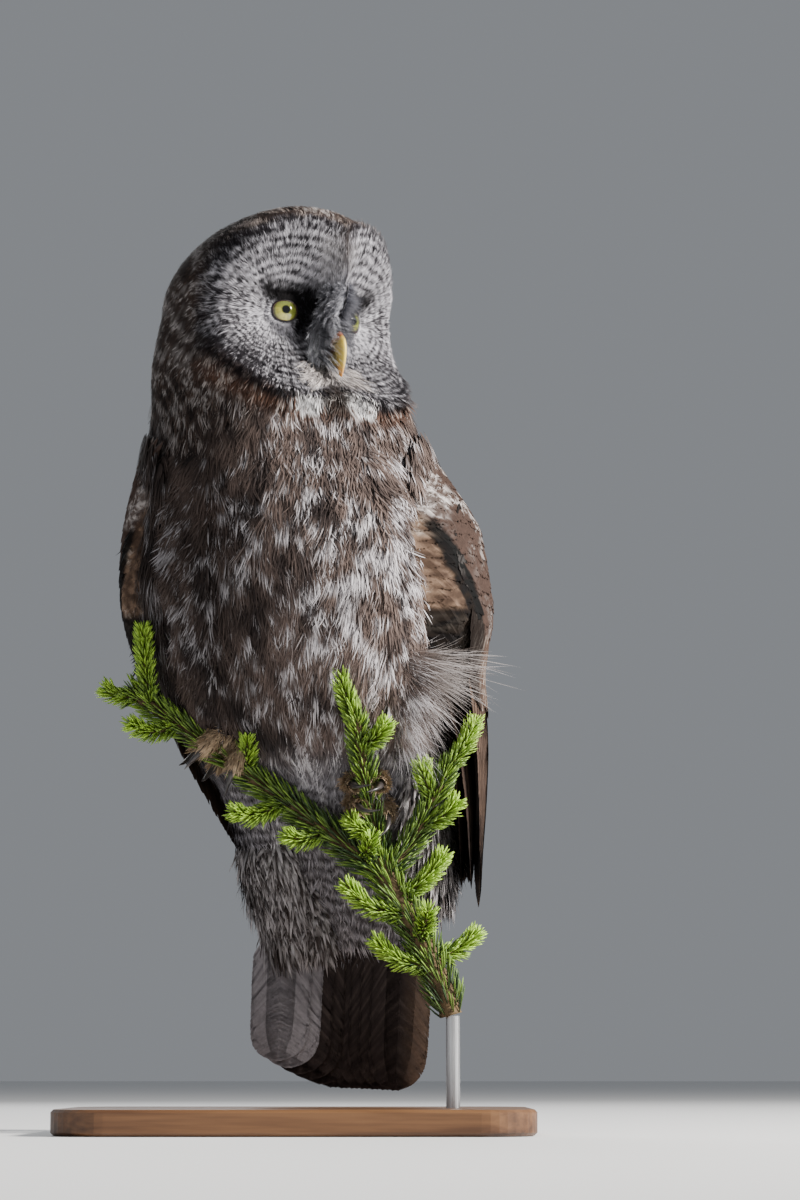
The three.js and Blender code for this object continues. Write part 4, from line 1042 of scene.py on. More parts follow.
def bill_points(line, half_width, half_depth, steps=40, sides=36):
    """Oval sections swept along the ridge, as grid points and their share of the way."""
    start, bend, end = (head_point(0.0, forward, up) for forward, up in line)
    along = 1 - (1 - np.linspace(0, 1, steps)) ** 1.6
    ridge = mix(mix(start, bend, along[:, None]), mix(bend, end, along[:, None]), along[:, None])
    back = unit(np.cross(HEAD_LEFT, mix(bend - start, end - bend, along[:, None])))
    taper = mix(0.05, 1.0, np.sqrt(np.clip(1 - along**1.6, 0, None)))[:, None, None]
    angle = round_turns(sides)[:, None]
    narrow = 1 - 0.25 * np.cos(angle)
    across = half_width * np.sin(angle) * narrow * HEAD_LEFT
    return ridge[:, None] + taper * (across + half_depth * (1 - np.cos(angle)) * back[:, None]), along


def bill_tint(name, share, side):
    """Yellow horn, browner at its base, its tip and its left edge; painted shade darkens its right side and
    the whole lower half.
    """
    base = smoothstep(share + 0.12 * noise(share * 9, side, 33), 0.2, 0.36)
    tint = tinted(srgb(156, 84, 56), srgb(212, 186, 84), base)
    tint = tinted(tint, srgb(196, 132, 58), smoothstep(share, 0.72, 1.0))
    # Painted shade: the owl's right side of the bill is darkened towards olive brown.
    tint = tinted(tint, srgb(112, 88, 50), 0.7 * smoothstep(-side, 0.5, 4.0))
    tint = tinted(tint, srgb(120, 100, 60), 0.5 * smoothstep(side, 3.0, 5.0))
    # Painted shade: the lower half is darkened to 0.45.
    return tint * 0.45 if name == "lower" else tint


def build_bill(name):
    """One half of the bill; the upper one has a shallow nostril on each side, painted dark as shade in its
    dent.
    """
    points, along = bill_points(**BILL[name])
    share = np.repeat(along, points.shape[1])
    flat = points.reshape(-1, 3)
    side, _, _ = head_place(flat)
    tint = bill_tint(name, share, side)
    if name == "upper":
        nostril = np.exp(-((share - 0.27) / 0.05) ** 2 - ((np.abs(side) - 4.5) / 0.9) ** 2)
        # Painted shade: the nostril's dent is darkened towards soot.
        tint = tinted(tint, SOOT, 0.6 * nostril)
        flat = flat - (np.sign(side) * nostril * 0.8)[:, None] * HEAD_LEFT
    rows, columns = points.shape[:2]
    flat = np.concatenate([flat, [flat[:columns].mean(0), flat[-columns:].mean(0)]])
    tint = np.concatenate([tint, tint[:1], tint[-1:]])
    piece(f"horn_{name}", "horn", [f"bill_{name}"], HORN, flat, capped_triangles(rows, columns), tint)


EYE = grained_material("eye", 0.04, 0.6, {"Coat Weight": 1.0, "Coat Roughness": 0.02})
LID = grained_material("lid", 0.45, 0.4)
HORN = grained_material(
    "horn", 0.34, 0.5,
    {"Subsurface Weight": 0.12, "Subsurface Radius": (0.004, 0.002, 0.001)},
    (900.0, (1, 1, 0.25), 0.25, 0.3),
)


# Wings: the arm with its small coverts, and rows of long feathers under them. A band is a row's
# strip of the bake map, and a vane says how a feather's barbs run.

WING_FREE_Z = 332.0
GUIDE_SLOPES = {"x": -0.2, "y": -0.16, "side": 0.1, "front": 0.1, "back": 0.1}
STANDOFF = {
    "z": (165, 200, 241, 290, 345, 400, 470, 500),
    "left": (-5, 0, 7, 13, 13, 7, 5, 2),
    "right": (-6, -8, -7, -2, -2, -5, -5, -3),
}
FAN_TOP_Z = 400.0
FAN_BOTTOM_Z = 165.0
FAN_MIDDLE_TOP = {"left": 112.0, "right": 116.0}
FAN_MIDDLE_BOTTOM = {"left": 114.0, "right": 150.0}
FAN_SPREAD_TOP = 68.0
FAN_SPREAD_BOTTOM = 34.0
SHELL = {
    "front": 53.0, "front_low": 62.0, "back": 136.0, "back_low": 148.0,
    "top": 496.0, "top_drop": 42.0, "peak": 0.4, "bottom": 344.0, "tuck": 7.0,
    "lift": 11.0, "edge_lift": 3.0, "top_share": 0.12, "fill": 2.4, "around": 150.0,
}
WING_OUTLINE = {"along": (0, 0.3, 0.62, 0.85, 0.95, 1), "width": (0.55, 0.95, 1, 0.78, 0.45, 0.03)}
COVERT_OUTLINE = {"along": (0, 0.3, 0.7, 0.88, 0.96, 1), "width": (0.5, 0.9, 1, 0.85, 0.55, 0.05)}
FLIGHT = {"count": 13, "feathers": 25, "half_width": 16.5, "lift": 5.0, "root": 366.0, "band": (0.0, 0.2)}
FLIGHT_BARBS = {"outer": 100, "inner": 70}
FLIGHT_TIPS = {"place": (0, 0.4, 0.84, 1), "z": (302, 266, 166, 188)}
INNER_FLIGHTS = [
    {"count": 13, "half_width": 15.0, "lift": -1.0, "sunk": 14.0, "band": (0.21, 0.29)},
    {"count": 13, "half_width": 15.0, "lift": -8.0, "sunk": 10.0, "band": (0.3, 0.38)},
]
INNER_FAN = {"feathers": 9, "places": (0.35, 1.1), "root": 340.0, "tips": (188, 180), "uneven": 3.0}
COVERTS = {"count": 7, "half_width": 13.64, "lift": 7.2, "root": 384.0, "tip": 306.0, "band": (0.4, 0.5)}
COVERTS_UNEVEN = 3.0
SCAPULARS = {"count": 5, "half_width": 13.02, "lift": 8.0, "root": 452.0, "tip": 386.0, "band": (0.51, 0.61)}
ARM = {
    "rows": 24, "feathers": 22, "down": (-0.02, 0.94), "length": (15, 21), "half_width": (5.5, 7),
    "sweep_back": 0.05, "stand": 1.7, "sunk": 3.0, "skin_depth": 3.4, "skin_grid": 22,
}
VANE_STEP = 1.0
COVERT_VANE = {"barbs": 44, "sweep": 0.3, "ragged": 0.04, "split": 0.08}
ARM_VANE = {"barbs": 18, "sweep": 0.35, "ragged": 0.08, "split": 0.12}
BARB_TAPER = 0.97
BODY_AXIS = np.array([0.0, 0.0, 300.0])
VANE_GRID = (9, 5)


def guide_at(z):
    """The surface that the folded wings lie on: the body's, carried straight on below its waist."""
    z = np.asarray(z, float)
    section = section_at(np.maximum(z, WING_FREE_Z))
    below = np.minimum(z - WING_FREE_Z, 0)
    for key, slope in GUIDE_SLOPES.items():
        section[key] = section[key] + slope * below
    section["z"] = z
    return section


def side_name(side):
    return "left" if side > 0 else "right"


def standoff(side, z):
    """How far a wing stands off the surface that it lies on."""
    return curve_value(STANDOFF["z"], STANDOFF[side_name(side)], z)


def fan_angle(side, place, z):
    """Where a wing feather runs: its place in the fan, from the back to the front, at a level."""
    height = np.minimum((z - FAN_BOTTOM_Z) / (FAN_TOP_Z - FAN_BOTTOM_Z), 1)
    name = side_name(side)
    middle = mix(FAN_MIDDLE_BOTTOM[name], FAN_MIDDLE_TOP[name], height)
    spread = mix(FAN_SPREAD_BOTTOM, FAN_SPREAD_TOP, height)
    return np.radians(middle + (0.5 - place) * spread)


def fan_grid(side, row, places, roots, tips):
    """The surfaces of a row of wing feathers, tucked under their neighbours towards the back."""
    along = np.linspace(0, 1, VANE_GRID[0])
    across = np.linspace(-1, 1, VANE_GRID[1])
    z = (roots[:, None] + (tips - roots)[:, None] * along)[..., None]
    middle = fan_angle(side, places[:, None, None], z)
    section = guide_at(z)
    reach = reach_at(section, middle)
    spacing = reach * (fan_angle(side, 0, z) - fan_angle(side, 1, z)) / (row["count"] - 1)
    offset = across * row["half_width"]
    angle = side * (middle + offset / reach)
    arch = 0.8 * (1 - across**2)
    sunk = row.get("sunk", 0.0) * (1 - along[:, None]) ** 2
    lift = row["lift"] + standoff(side, z) - VANE_STEP / spacing * offset + arch - sunk
    return section_point(section, angle, lift)


def sampled(grid, along, across):
    """Points of each feather's surface, at shares along and across it."""
    rows, columns = grid.shape[1:3]
    row = np.clip(along, -0.05, 1.06) * (rows - 1)
    column = (np.clip(across, -1.2, 1.2) + 1) / 2 * (columns - 1)
    low_row = np.clip(np.floor(row).astype(int), 0, rows - 2)
    low_column = np.clip(np.floor(column).astype(int), 0, columns - 2)
    feather = np.arange(len(grid)).reshape((-1,) + (1,) * (along.ndim - 1))
    feather = np.broadcast_to(feather, along.shape)
    down = (row - low_row)[..., None]
    over = (column - low_column)[..., None]
    first = mix(grid[feather, low_row, low_column], grid[feather, low_row, low_column + 1], over)
    second = mix(grid[feather, low_row + 1, low_column], grid[feather, low_row + 1, low_column + 1], over)
    return mix(first, second, down)


def lace(across, z, seed):
    """Thin curling lines, 0 to 1, for the white marks of the wing."""
    bend = 3.2 * noise(across / 4, z / 4, seed)
    lines = 1 - np.abs(2 * noise((across + bend) / 4.2, (z + bend) / 3.4, seed + 1) - 1)
    return smoothstep(lines, 0.6, 0.95)


def barbed(grid, outline, barbs, steps=3, sweep=0.2, ragged=0.02, split=0.05, thick=1.0):
    """Feathers made of barbs that run out from a shaft and on towards its tip.

    Barbs cling together in groups, with small splits between. Returns points, triangles and each
    point's feather, place along and across it, and grain.
    """
    count = len(grid)
    start = np.linspace(0.0, 0.99, barbs)
    sign = np.array([-1.0, 1.0])[:, None]
    shape = (count, 2, barbs)
    seeds = np.arange(count)[:, None, None] * 17.3 + sign * 5.1
    group = np.floor(start * 7 + 3 * hashed(seeds, 0, 42))
    slide = sweep + (hashed(group, seeds, 41) - 0.5) * split + rng.normal(0, 0.03 * sweep, shape)
    slide = np.minimum(slide * (1 - start) ** 0.6, 0.6 * (1 - start))
    reach = curve_value(outline["along"], outline["width"], np.clip(start + slide, 0, 1))
    reach = reach * (1 + rng.normal(0, ragged, shape))
    out = np.append(np.linspace(0, BARB_TAPER, steps), 1.0)
    across = (sign * reach)[..., None] * out
    along = start[:, None] + slide[..., None] * out**1.4
    half = thick / barbs * (1 - 0.15 * out[:-1])
    pair_along = np.stack([along[..., :-1] - half, along[..., :-1] + half], -1).reshape(*shape, 2 * steps)
    pair_across = np.repeat(across[..., :-1], 2, axis=-1)
    place_along = np.concatenate([pair_along, along[..., -1:]], -1).reshape(count, -1)
    place_across = np.concatenate([pair_across, across[..., -1:]], -1).reshape(count, -1)
    each = 2 * steps + 1
    points = sampled(grid, place_along, place_across)
    spot = {
        "feather": np.repeat(np.arange(count), 2 * barbs * each),
        "along": place_along.ravel(),
        "across": place_across.ravel(),
        "grain": np.repeat(rng.uniform(-1, 1, count * 2 * barbs), each),
    }
    return points.reshape(-1, 3), repeated(strip_ladder(steps), count * 2 * barbs, each), spot


def shafts(grid, half_width, height, steps=12):
    """A thin raised shaft down the middle of each feather."""
    along = np.broadcast_to(np.linspace(0, 0.97, steps + 1), (len(grid), steps + 1))
    middle = sampled(grid, along, np.zeros_like(along))
    side = unit(sampled(grid, along, np.full_like(along, 0.2)) - middle)
    out = np.cross(side, unit(np.gradient(middle, axis=1)))
    out = out * np.sign(np.sum(out * (middle - BODY_AXIS), axis=-1, keepdims=True))
    edge = side * half_width * (1 - 0.8 * along[..., None])
    top = middle + out * height * (1 - 0.6 * along[..., None])
    rings = np.stack([middle - edge, top, middle + edge], axis=2)
    each = 3 * (steps + 1)
    spot = {
        "feather": np.repeat(np.arange(len(grid)), each),
        "along": np.repeat(along, 3, axis=1).ravel(),
        "across": np.zeros(len(grid) * each),
        "grain": np.zeros(len(grid) * each),
    }
    return rings.reshape(-1, 3), repeated(grid_triangles(steps + 1, 3), len(grid), each), spot


def feathered(grid, outline, colour, band, shaft=(0.5, 0.35), **vane):
    """Barbs and shafts of a row of feathers as arrays; band is the row's strip of the bake map."""
    rows = []
    for points, triangles, spot in (barbed(grid, outline, **vane), shafts(grid, *shaft)):
        across = (spot["feather"] + 0.5 + 0.45 * np.clip(spot["across"], -1, 1)) / len(grid)
        along = mix(*band, np.clip(spot["along"], 0, 1))
        rows.append((points, triangles, colour(points, spot), np.stack([across, along], -1)))
    return merged(rows)


def flight_tint(points, spot):
    """Dark brown flight feathers, with paler broken bars and streaks along them."""
    feather = spot["feather"]
    z = points[:, 2]
    bar = np.sin(2 * np.pi * (z / 23 + 0.25 * noise(feather * 3.7, z / 40, 51) + 0.05 * spot["grain"]))
    speck = noise(spot["across"] * 5 + feather * 9, z / 6.5, 52)
    share = smoothstep(0.5 * bar + 0.9 * (speck - 0.5) + 0.2 * spot["grain"], 0.1, 0.8)
    tint = tinted(srgb(38, 29, 26), srgb(92, 73, 61), 0.65 * share)
    edge = smoothstep(np.abs(spot["across"]), 0.75, 1.0)
    tint = tinted(tint, srgb(118, 96, 82), 0.35 * edge)
    shaft = bump(spot["across"], 0.05)
    return tinted(tint, srgb(120, 98, 80), 0.5 * shaft) * (1 + 0.1 * spot["grain"])[:, None]


def hidden_flight_tint(points, spot):
    """Flight feathers in the shade between the wing and the body."""
    return flight_tint(points, spot) * 0.5


def covert_tint(points, spot):
    """Greater coverts: brown with wavy pale bars, darkened at the wing's front as painted shade."""
    feather = spot["feather"]
    z = points[:, 2]
    wave = np.sin(2 * np.pi * (z / 7 + 1.3 * noise(feather * 5.1 + spot["across"] * 2, z / 7, 53)))
    speck = noise(spot["across"] * 5 + feather * 7, z / 2.6, 54)
    share = smoothstep(0.4 * wave + 1.3 * (speck - 0.5) + 0.2 * spot["grain"], 0.2, 0.7)
    behind = smoothstep(points[:, 1], 40, 66)
    tint = tinted(srgb(74, 57, 48), srgb(178, 166, 156), 0.7 * share * (1 - 0.7 * behind))
    # Painted shade: coverts at the wing's front, beside the breast, are darkened almost to black.
    front = smoothstep(-points[:, 1], 22, 40)
    return tint * ((1 - 0.88 * front) * (1 - 0.3 * behind) * (1 + 0.14 * spot["grain"]))[:, None]


def scapular_tint(points, spot):
    """Scapulars: brown, with broken white marks on the web towards the front, and darkened at the wing's
    front as painted shade.
    """
    feather = spot["feather"]
    z = points[:, 2]
    wide = points[:, 1] * 0.8
    front = smoothstep(-spot["across"], -0.5, 0.5)
    patchy = noise(feather * 2.3 + wide / 12, z / 11, 56)
    share = lace(wide, z, 55) * smoothstep(patchy + 0.25 * front + 0.1 * spot["grain"], 0.35, 0.8)
    behind = smoothstep(points[:, 1], 40, 66)
    tint = tinted(srgb(70, 54, 47), srgb(216, 208, 204), 0.8 * share * (1 - 0.85 * behind))
    # Painted shade: scapulars at the wing's front, beside the breast, are darkened almost to black.
    front = smoothstep(-points[:, 1], 12, 26)
    return tint * ((1 - 0.92 * front) * (1 - 0.3 * behind) * (1 + 0.12 * spot["grain"]))[:, None]


def shell_swell(back, down):
    """How much of the arm's lift there is at a place: most in its middle."""
    across = np.sqrt(np.sin(np.pi * np.clip(back, 0.04, 0.96)))
    top = np.minimum(1, SHELL["top_share"] + SHELL["fill"] * down)
    return across * top * (1 - 0.28 * smoothstep(down, 0.7, 1.0))


def shell_top(share):
    """The arm's upper edge, at a share of the way from its front to its back."""
    return SHELL["top"] - SHELL["top_drop"] * (2 * (share - SHELL["peak"])) ** 2


def shell_point(side, back, down, lift=0.0):
    """A place on the arm: its share from front to back and from top to bottom."""
    section = guide_at(mix(shell_top(back), SHELL["bottom"], down))
    front = mix(SHELL["front"], SHELL["front_low"], down)
    rear = mix(SHELL["back"], SHELL["back_low"], down)
    angle = side * np.radians(mix(front, rear, back))
    swell = (SHELL["lift"] + standoff(side, section["z"])) * shell_swell(back, down)
    tuck = SHELL["tuck"] * (1 - smoothstep(back, 0.0, 0.14))
    return section_point(section, angle, SHELL["edge_lift"] + swell + lift - tuck)


def shell_grid(side, back, down, length, half_width):
    """Surfaces of small coverts lying down the arm from their roots."""
    along = np.linspace(0, 1, 5)[:, None]
    across = np.linspace(-1, 1, 3)
    length, half_width, down, back = (array[:, None, None] for array in (length, half_width, down, back))
    place_down = down + length / (SHELL["top"] - SHELL["bottom"]) * along
    place_back = back + half_width / SHELL["around"] * across + ARM["sweep_back"] * along
    lift = -ARM["sunk"] + ARM["stand"] * along + 1.2 * (1 - across**2)
    return shell_point(side, np.clip(place_back, 0, 1), place_down, lift)


def small_covert_tint(side, spot, points):
    """The arm's small coverts: laced with white behind, plain tan in front, with painted shadow in the slit
    between them and in the hollow low at the front.
    """
    back, down = spot["back"], spot["down"]
    z = points[:, 2]
    wide = points[:, 1] * 0.8
    border = np.interp(down, (0.04, 0.33, 0.8), (0.0, 0.085, 0.23))
    patchy = noise(wide / 9, z / 11, 58)
    white = bump(back - border - 0.04, 0.04) * (1 - smoothstep(down, 0.2, 0.38))
    share = lace(wide, z, 57) * np.clip(smoothstep(patchy, 0.35, 0.8) + 0.7 * white, 0, 1) + 0.12 * white
    bright = (0.8 if side > 0 else 0.45) * mix(1.0, 0.3, smoothstep(down, 0.25, 0.5))
    # Painted shade: the white lace is dimmed beside the slit.
    slit_side_shade = (1 - smoothstep(back - border, 0.08, 0.16)) * smoothstep(down, 0.28, 0.36)
    bright = bright * (1 - 0.85 * slit_side_shade)
    mottled = tinted(srgb(62, 48, 42), srgb(222, 214, 210), bright * np.clip(share, 0, 1))
    speck = noise(wide / 2.4, z / 3.0, 60)
    plain = tinted(srgb(72, 56, 46), srgb(132, 108, 90), 0.8 * smoothstep(speck + 0.4 * patchy, 0.5, 1.1))
    plain = tinted(plain, srgb(206, 190, 176), 0.6 * lace(wide, z, 62) * smoothstep(patchy, 0.5, 0.75))
    tan = smoothstep(border - back, -0.01, 0.02)[:, None]
    tint = mottled * (1 - tan) + plain * tan
    # Painted shadow: near black in the hollow low at the wing's front and in the slit between the laced and
    # tan parts.
    hollow = smoothstep(down, 0.76, 0.8) * (1 - smoothstep(back, 0.16, 0.22))
    half_slit = np.interp(down, (0.3, 0.5, 0.9), (0.014, 0.04, 0.06))
    slit = (1 - smoothstep(np.abs(back - border), half_slit, half_slit + 0.01)) * smoothstep(down, 0.3, 0.34)
    dark = 0.94 * np.maximum(hollow, slit)
    return tint * (1 - dark)[:, None] * (1 + 0.12 * spot["grain"])[:, None]


def arm_coverts(side):
    """Rows of small coverts over the arm, from below up so that each row covers the next."""
    backs = []
    downs = []
    count = ARM["feathers"]
    for index, down in enumerate(np.linspace(*ARM["down"], ARM["rows"])):
        backs.append(np.clip(staggered(count, index, 0.25), 0.0, 0.98))
        downs.append(down + rng.normal(0, 0.024, count))
    back = np.concatenate(backs)
    down = np.concatenate(downs)
    length = rng.uniform(*ARM["length"], len(back))
    half_width = rng.uniform(*ARM["half_width"], len(back))
    grid = shell_grid(side, back, down, length, half_width)
    points, triangles, spot = barbed(grid, COVERT_OUTLINE, **ARM_VANE)
    feather = spot["feather"]
    over = spot["across"] * half_width[feather] / SHELL["around"]
    spot["back"] = back[feather] + over + ARM["sweep_back"] * spot["along"]
    spot["down"] = down[feather] + spot["along"] * length[feather] / (SHELL["top"] - SHELL["bottom"])
    patch = np.stack([0.4 * spot["across"], spot["along"]], -1) * 0.012
    root = np.stack([back * 0.96 + 0.02, 0.97 - down * 0.27], -1)
    return points, triangles, small_covert_tint(side, spot, points), root[feather] - patch


def under_shell(side):
    """A plain surface under the small coverts, painted dark as the shade between them."""
    share = np.linspace(0, 1, ARM["skin_grid"])
    back, down = np.meshgrid(share, share)
    points = shell_point(side, back, down, -ARM["skin_depth"]).reshape(-1, 3)
    # Painted shade: one dark colour where it shows between the coverts.
    tint = np.broadcast_to(srgb(52, 42, 38), points.shape)
    bake = np.stack([back, 0.63 + 0.02 * down], -1).reshape(-1, 2)
    return points, grid_triangles(len(share), len(share)), tint, bake


def build_wing(side):
    """One folded wing: flight feathers, coverts, scapulars and the arm over them."""
    name = side_name(side)
    places = np.linspace(0, 1, FLIGHT["feathers"])
    tips = curve_value(FLIGHT_TIPS["place"], FLIGHT_TIPS["z"], places)
    grid = fan_grid(side, FLIGHT, places, np.full(len(places), FLIGHT["root"]), tips)
    parts = [feathered(grid, WING_OUTLINE, flight_tint, FLIGHT["band"], barbs=FLIGHT_BARBS["outer"])]
    count = INNER_FAN["feathers"]
    places = np.linspace(*INNER_FAN["places"], count)
    for row in INNER_FLIGHTS:
        tips = np.linspace(*INNER_FAN["tips"], count) + rng.normal(0, INNER_FAN["uneven"], count)
        grid = fan_grid(side, row, places, np.full(count, INNER_FAN["root"]), tips)
        barbs = FLIGHT_BARBS["inner"]
        parts.append(feathered(grid, WING_OUTLINE, hidden_flight_tint, row["band"], barbs=barbs))
    for row, colour in ((COVERTS, covert_tint), (SCAPULARS, scapular_tint)):
        count = 2 * row["count"]
        uneven = rng.normal(0, COVERTS_UNEVEN, count)
        grid = fan_grid(side, row, np.linspace(0, 1, count), row["root"] + uneven, row["tip"] + uneven)
        parts.append(feathered(grid, COVERT_OUTLINE, colour, row["band"], **COVERT_VANE))
    parts += [under_shell(side), arm_coverts(side)]
    plumage_piece(f"wing_feathers_{name}", "flight", [f"wing_{name}"], parts)


# Tail.

TAIL_ROOT = np.array([33, 60, 147.7])
TAIL_TIP = np.array([27.0, 88.0, 32.0])
TAIL_PAIRS = 6
TAIL_SPREAD = 50.0
TAIL_HALF_WIDTH = 23.0
TAIL_OUTER_SHORTER = {"left": -2.0, "right": 24.0}
TAIL_CORNER = 1.5
TAIL_OUTLINE = {
    "along": (0, 0.3, 0.65, 0.84, 0.92, 0.97, 1),
    "width": (0.92, 1, 1, 0.96, 0.8, 0.5, 0.05),
}
TAIL_VANE = {"barbs": 150, "sweep": 0.28, "ragged": 0.008, "split": 0.02, "thick": 1.3}


def tail_place(centre, sideways, forward):
    """Points on the tail: to its own left of the centre line and in front of it."""
    across = facing(BODY_TURN + np.pi / 2)
    return centre + sideways[..., None] * across + forward[..., None] * facing(BODY_TURN)


def tail_grid():
    """The surfaces of the tail's feathers, in pairs from the middle outwards."""
    axis = TAIL_TIP - TAIL_ROOT
    along = np.linspace(0, 1, VANE_GRID[0])[:, None]
    across = np.linspace(-1, 1, VANE_GRID[1])
    grids = []
    for pair in range(TAIL_PAIRS):
        outwards = (pair + 0.5) / TAIL_PAIRS
        for side in (-1, 1):
            layer = 2 * pair + (0 if side > 0 else 1)
            shorter = 1 - TAIL_OUTER_SHORTER[side_name(side)] * outwards**TAIL_CORNER / np.linalg.norm(axis)
            share = mix(-0.1, shorter, along) + 0 * across
            centre = TAIL_ROOT + share[..., None] * axis
            sideways = side * TAIL_SPREAD * outwards + across * TAIL_HALF_WIDTH + 0 * along
            forward = VANE_STEP * (layer - TAIL_PAIRS) + 1.4 * (1 - across**2) + 0 * along
            grids.append(tail_place(centre, sideways, forward))
    return np.array(grids)


def tail_tint(points, spot):
    """One pale grey outer feather on the owl's right, the rest dark brown, all with mottling above."""
    feather = spot["feather"]
    pair = feather // 2
    right = feather % 2 == 0
    z = points[:, 2]
    wave = np.sin(2 * np.pi * (z / 11 + 0.8 * noise(spot["across"] * 2 + feather * 3, z / 12, 61)))
    speck = noise(spot["across"] * 5 + feather * 5, z / 4, 62)
    dark = smoothstep(0.5 * wave + 0.9 * (speck - 0.5), 0.0, 0.6)
    pale = smoothstep(pair, 3.2, 3.9) * right
    brown = smoothstep(pair, 3.6, 4.6) * (1 - right) * smoothstep(spot["across"], 0.0, 0.8)
    base = tinted(srgb(50, 43, 42), srgb(142, 138, 142), pale)
    base = tinted(base, srgb(118, 98, 84), 0.8 * brown)
    mark = tinted(srgb(84, 74, 70), srgb(78, 74, 78), pale)
    amount = 0.65 * dark * mix(0.7 + 0.3 * smoothstep(z, 60, 110), smoothstep(z, 66, 104), pale)
    tint = tinted(base, mark, amount)
    shaft = bump(spot["across"], 0.045)
    return tinted(tint, tint * 1.5, shaft) * (1 + 0.1 * spot["grain"])[:, None]


def build_tail():
    """The tail's feathers, as one piece."""
    arrays = feathered(tail_grid(), TAIL_OUTLINE, tail_tint, (0.0, 0.95), (0.8, 0.5), **TAIL_VANE)
    plumage_piece("tail_feathers", "flight", ["tail"], [arrays])


# The perch's lines, as in the solids.

PERCH_Y = -34.0
JUNCTION = (64.0, PERCH_Y, 184.0)
PERCH = {
    "perch_stem": {
        "path": [
            (112, PERCH_Y, 80), (107, PERCH_Y, 96), (87, PERCH_Y, 142), JUNCTION, (60, PERCH_Y - 3, 198),
        ],
        "radius": (8.5, 7.65),
    },
    "perch_branch": {
        "path": [JUNCTION, (-20, PERCH_Y, 246), (-122, PERCH_Y - 4, 318)],
        "radius": (6.0, 4.2),
    },
    "perch_twig_middle": {
        "path": [JUNCTION, (52, PERCH_Y - 8, 236), (43, PERCH_Y - 48, 292)],
        "radius": (4.5, 3.15),
    },
    "perch_twig_right": {
        "path": [JUNCTION, (88, PERCH_Y - 4, 218), (108, PERCH_Y - 14, 262)],
        "radius": (4.5, 2.9),
    },
}
STEM_CUT_LEVEL = 84.0
FIRST_SIDE = (0.31, 0.92, 0.23)


def smooth_path(places, count):
    """Points at equal steps along a smooth curve through places."""
    places = np.asarray(places, float)
    ends = np.concatenate([[2 * places[0] - places[1]], places, [2 * places[-1] - places[-2]]])
    gaps = np.sqrt(np.linalg.norm(np.diff(ends, axis=0), axis=1))[:, None]
    share = np.linspace(0, 1, 60)[:, None]
    fine = []
    for k in range(1, len(ends) - 2):
        before, gap, after = gaps[k - 1], gaps[k], gaps[k + 1]
        first, second = ends[k], ends[k + 1]
        chord = (second - first) / gap
        leave = ((first - ends[k - 1]) / before - (second - ends[k - 1]) / (before + gap) + chord) * gap
        arrive = (chord - (ends[k + 2] - first) / (gap + after) + (ends[k + 2] - second) / after) * gap
        bend = 3 * (second - first) - 2 * leave - arrive
        twist = leave + arrive - 2 * (second - first)
        fine.append(first + share * (leave + share * (bend + share * twist)))
    fine = np.concatenate(fine)
    travelled = np.concatenate([[0], np.cumsum(np.linalg.norm(np.diff(fine, axis=0), axis=1))])
    even = np.linspace(0, travelled[-1], count)
    return np.stack([np.interp(even, travelled, fine[:, axis]) for axis in range(3)], -1)


def path_frames(line):
    """Directions along a line and two across it that don't twist."""
    run = unit(np.gradient(line, axis=0))
    side = np.zeros_like(line)
    last = np.array(FIRST_SIDE)
    for index, ahead in enumerate(run):
        last = unit(last - ahead * (last @ ahead))
        side[index] = last
    return run, side, np.cross(run, side)


def tube(line, radii, sides, rough=0.0):
    """A tube along a line with its two ends closed: points and triangles."""
    _, side, other = path_frames(line)
    radius = np.asarray(radii, float)[:, None] * (1 + rough * rng.normal(0, 1, (len(line), sides)))
    points = line[:, None] + radius[..., None] * spoke(round_turns(sides), side[:, None], other[:, None])
    return np.concatenate([points.reshape(-1, 3), line[:1], line[-1:]]), capped_triangles(len(line), sides)


# Feet.

TOE_RADIUS = 6.5
PALM = {"along": 16.0, "out": 9.0, "across": 12.0}
# Each toe: where it leaves the palm and where it ends along the perch, which way round the perch
# it goes, and how many degrees far.
TOES = {
    "inner": {"along": 9, "splay": 13, "wrap": 1, "reach": 112},
    "middle": {"along": -5, "splay": -4, "wrap": 1, "reach": 122},
    "outer": {"along": -10, "splay": -16, "wrap": -1, "reach": 96},
    "hind": {"along": 6, "splay": 9, "wrap": -1, "reach": 104},
}
TOE_SIDES = 14
TOE_RINGS = 30
GRIP_PRESS = 0.8
CLAW_LENGTH = 27.0
CLAW_RADII = (3.2, 0.3)
CLAW_RINGS = 26
CLAW_SIDES = 18
CLAW_LINE = [(0.0, 0.0), (0.32, -0.02), (0.62, 0.09), (0.86, 0.34)]
HIP = {"inward": 4.0, "back": 24.0, "up": 58.0}
KNEE_SHIFT = np.array([0, -5.0, 0])
LEG_FEATHERS = {"gap": 4.4, "depth": 5.5, "from": 0.15, "to": 0.95, "size": (17.0, 4.6)}
LEG_RADII = (14.0, 25.0)
LEG_RINGS = 40
LEG_SIDES = 20
LEG_SKIN_DEPTH = 6.0
LEG_HIDDEN_FROM = 9.0
# How far along each piece of the perch a foot holds it.
GRIP_SHARES = {"perch_branch": (64 + 59) / (64 + 122), "perch_twig_middle": 0.48}


def grip_on(name, share, palm_side):
    """Where a foot holds a piece of the perch: its axis there and the side its palm is on."""
    line = smooth_path(PERCH[name]["path"], 201)
    index = int(round(share * 200))
    along = unit(line[index + 1] - line[index - 1])
    out = unit(palm_side - along * (palm_side @ along))
    across = np.cross(along, out)
    return {"centre": line[index], "along": along, "out": out, "across": across,
            "hold": GRIP_PRESS * PERCH[name]["radius"][0]}


GRIPS = {
    "right": grip_on("perch_branch", GRIP_SHARES["perch_branch"], UP),
    "left": grip_on("perch_twig_middle", GRIP_SHARES["perch_twig_middle"], np.array([0.0, 1.0, 0.0])),
}


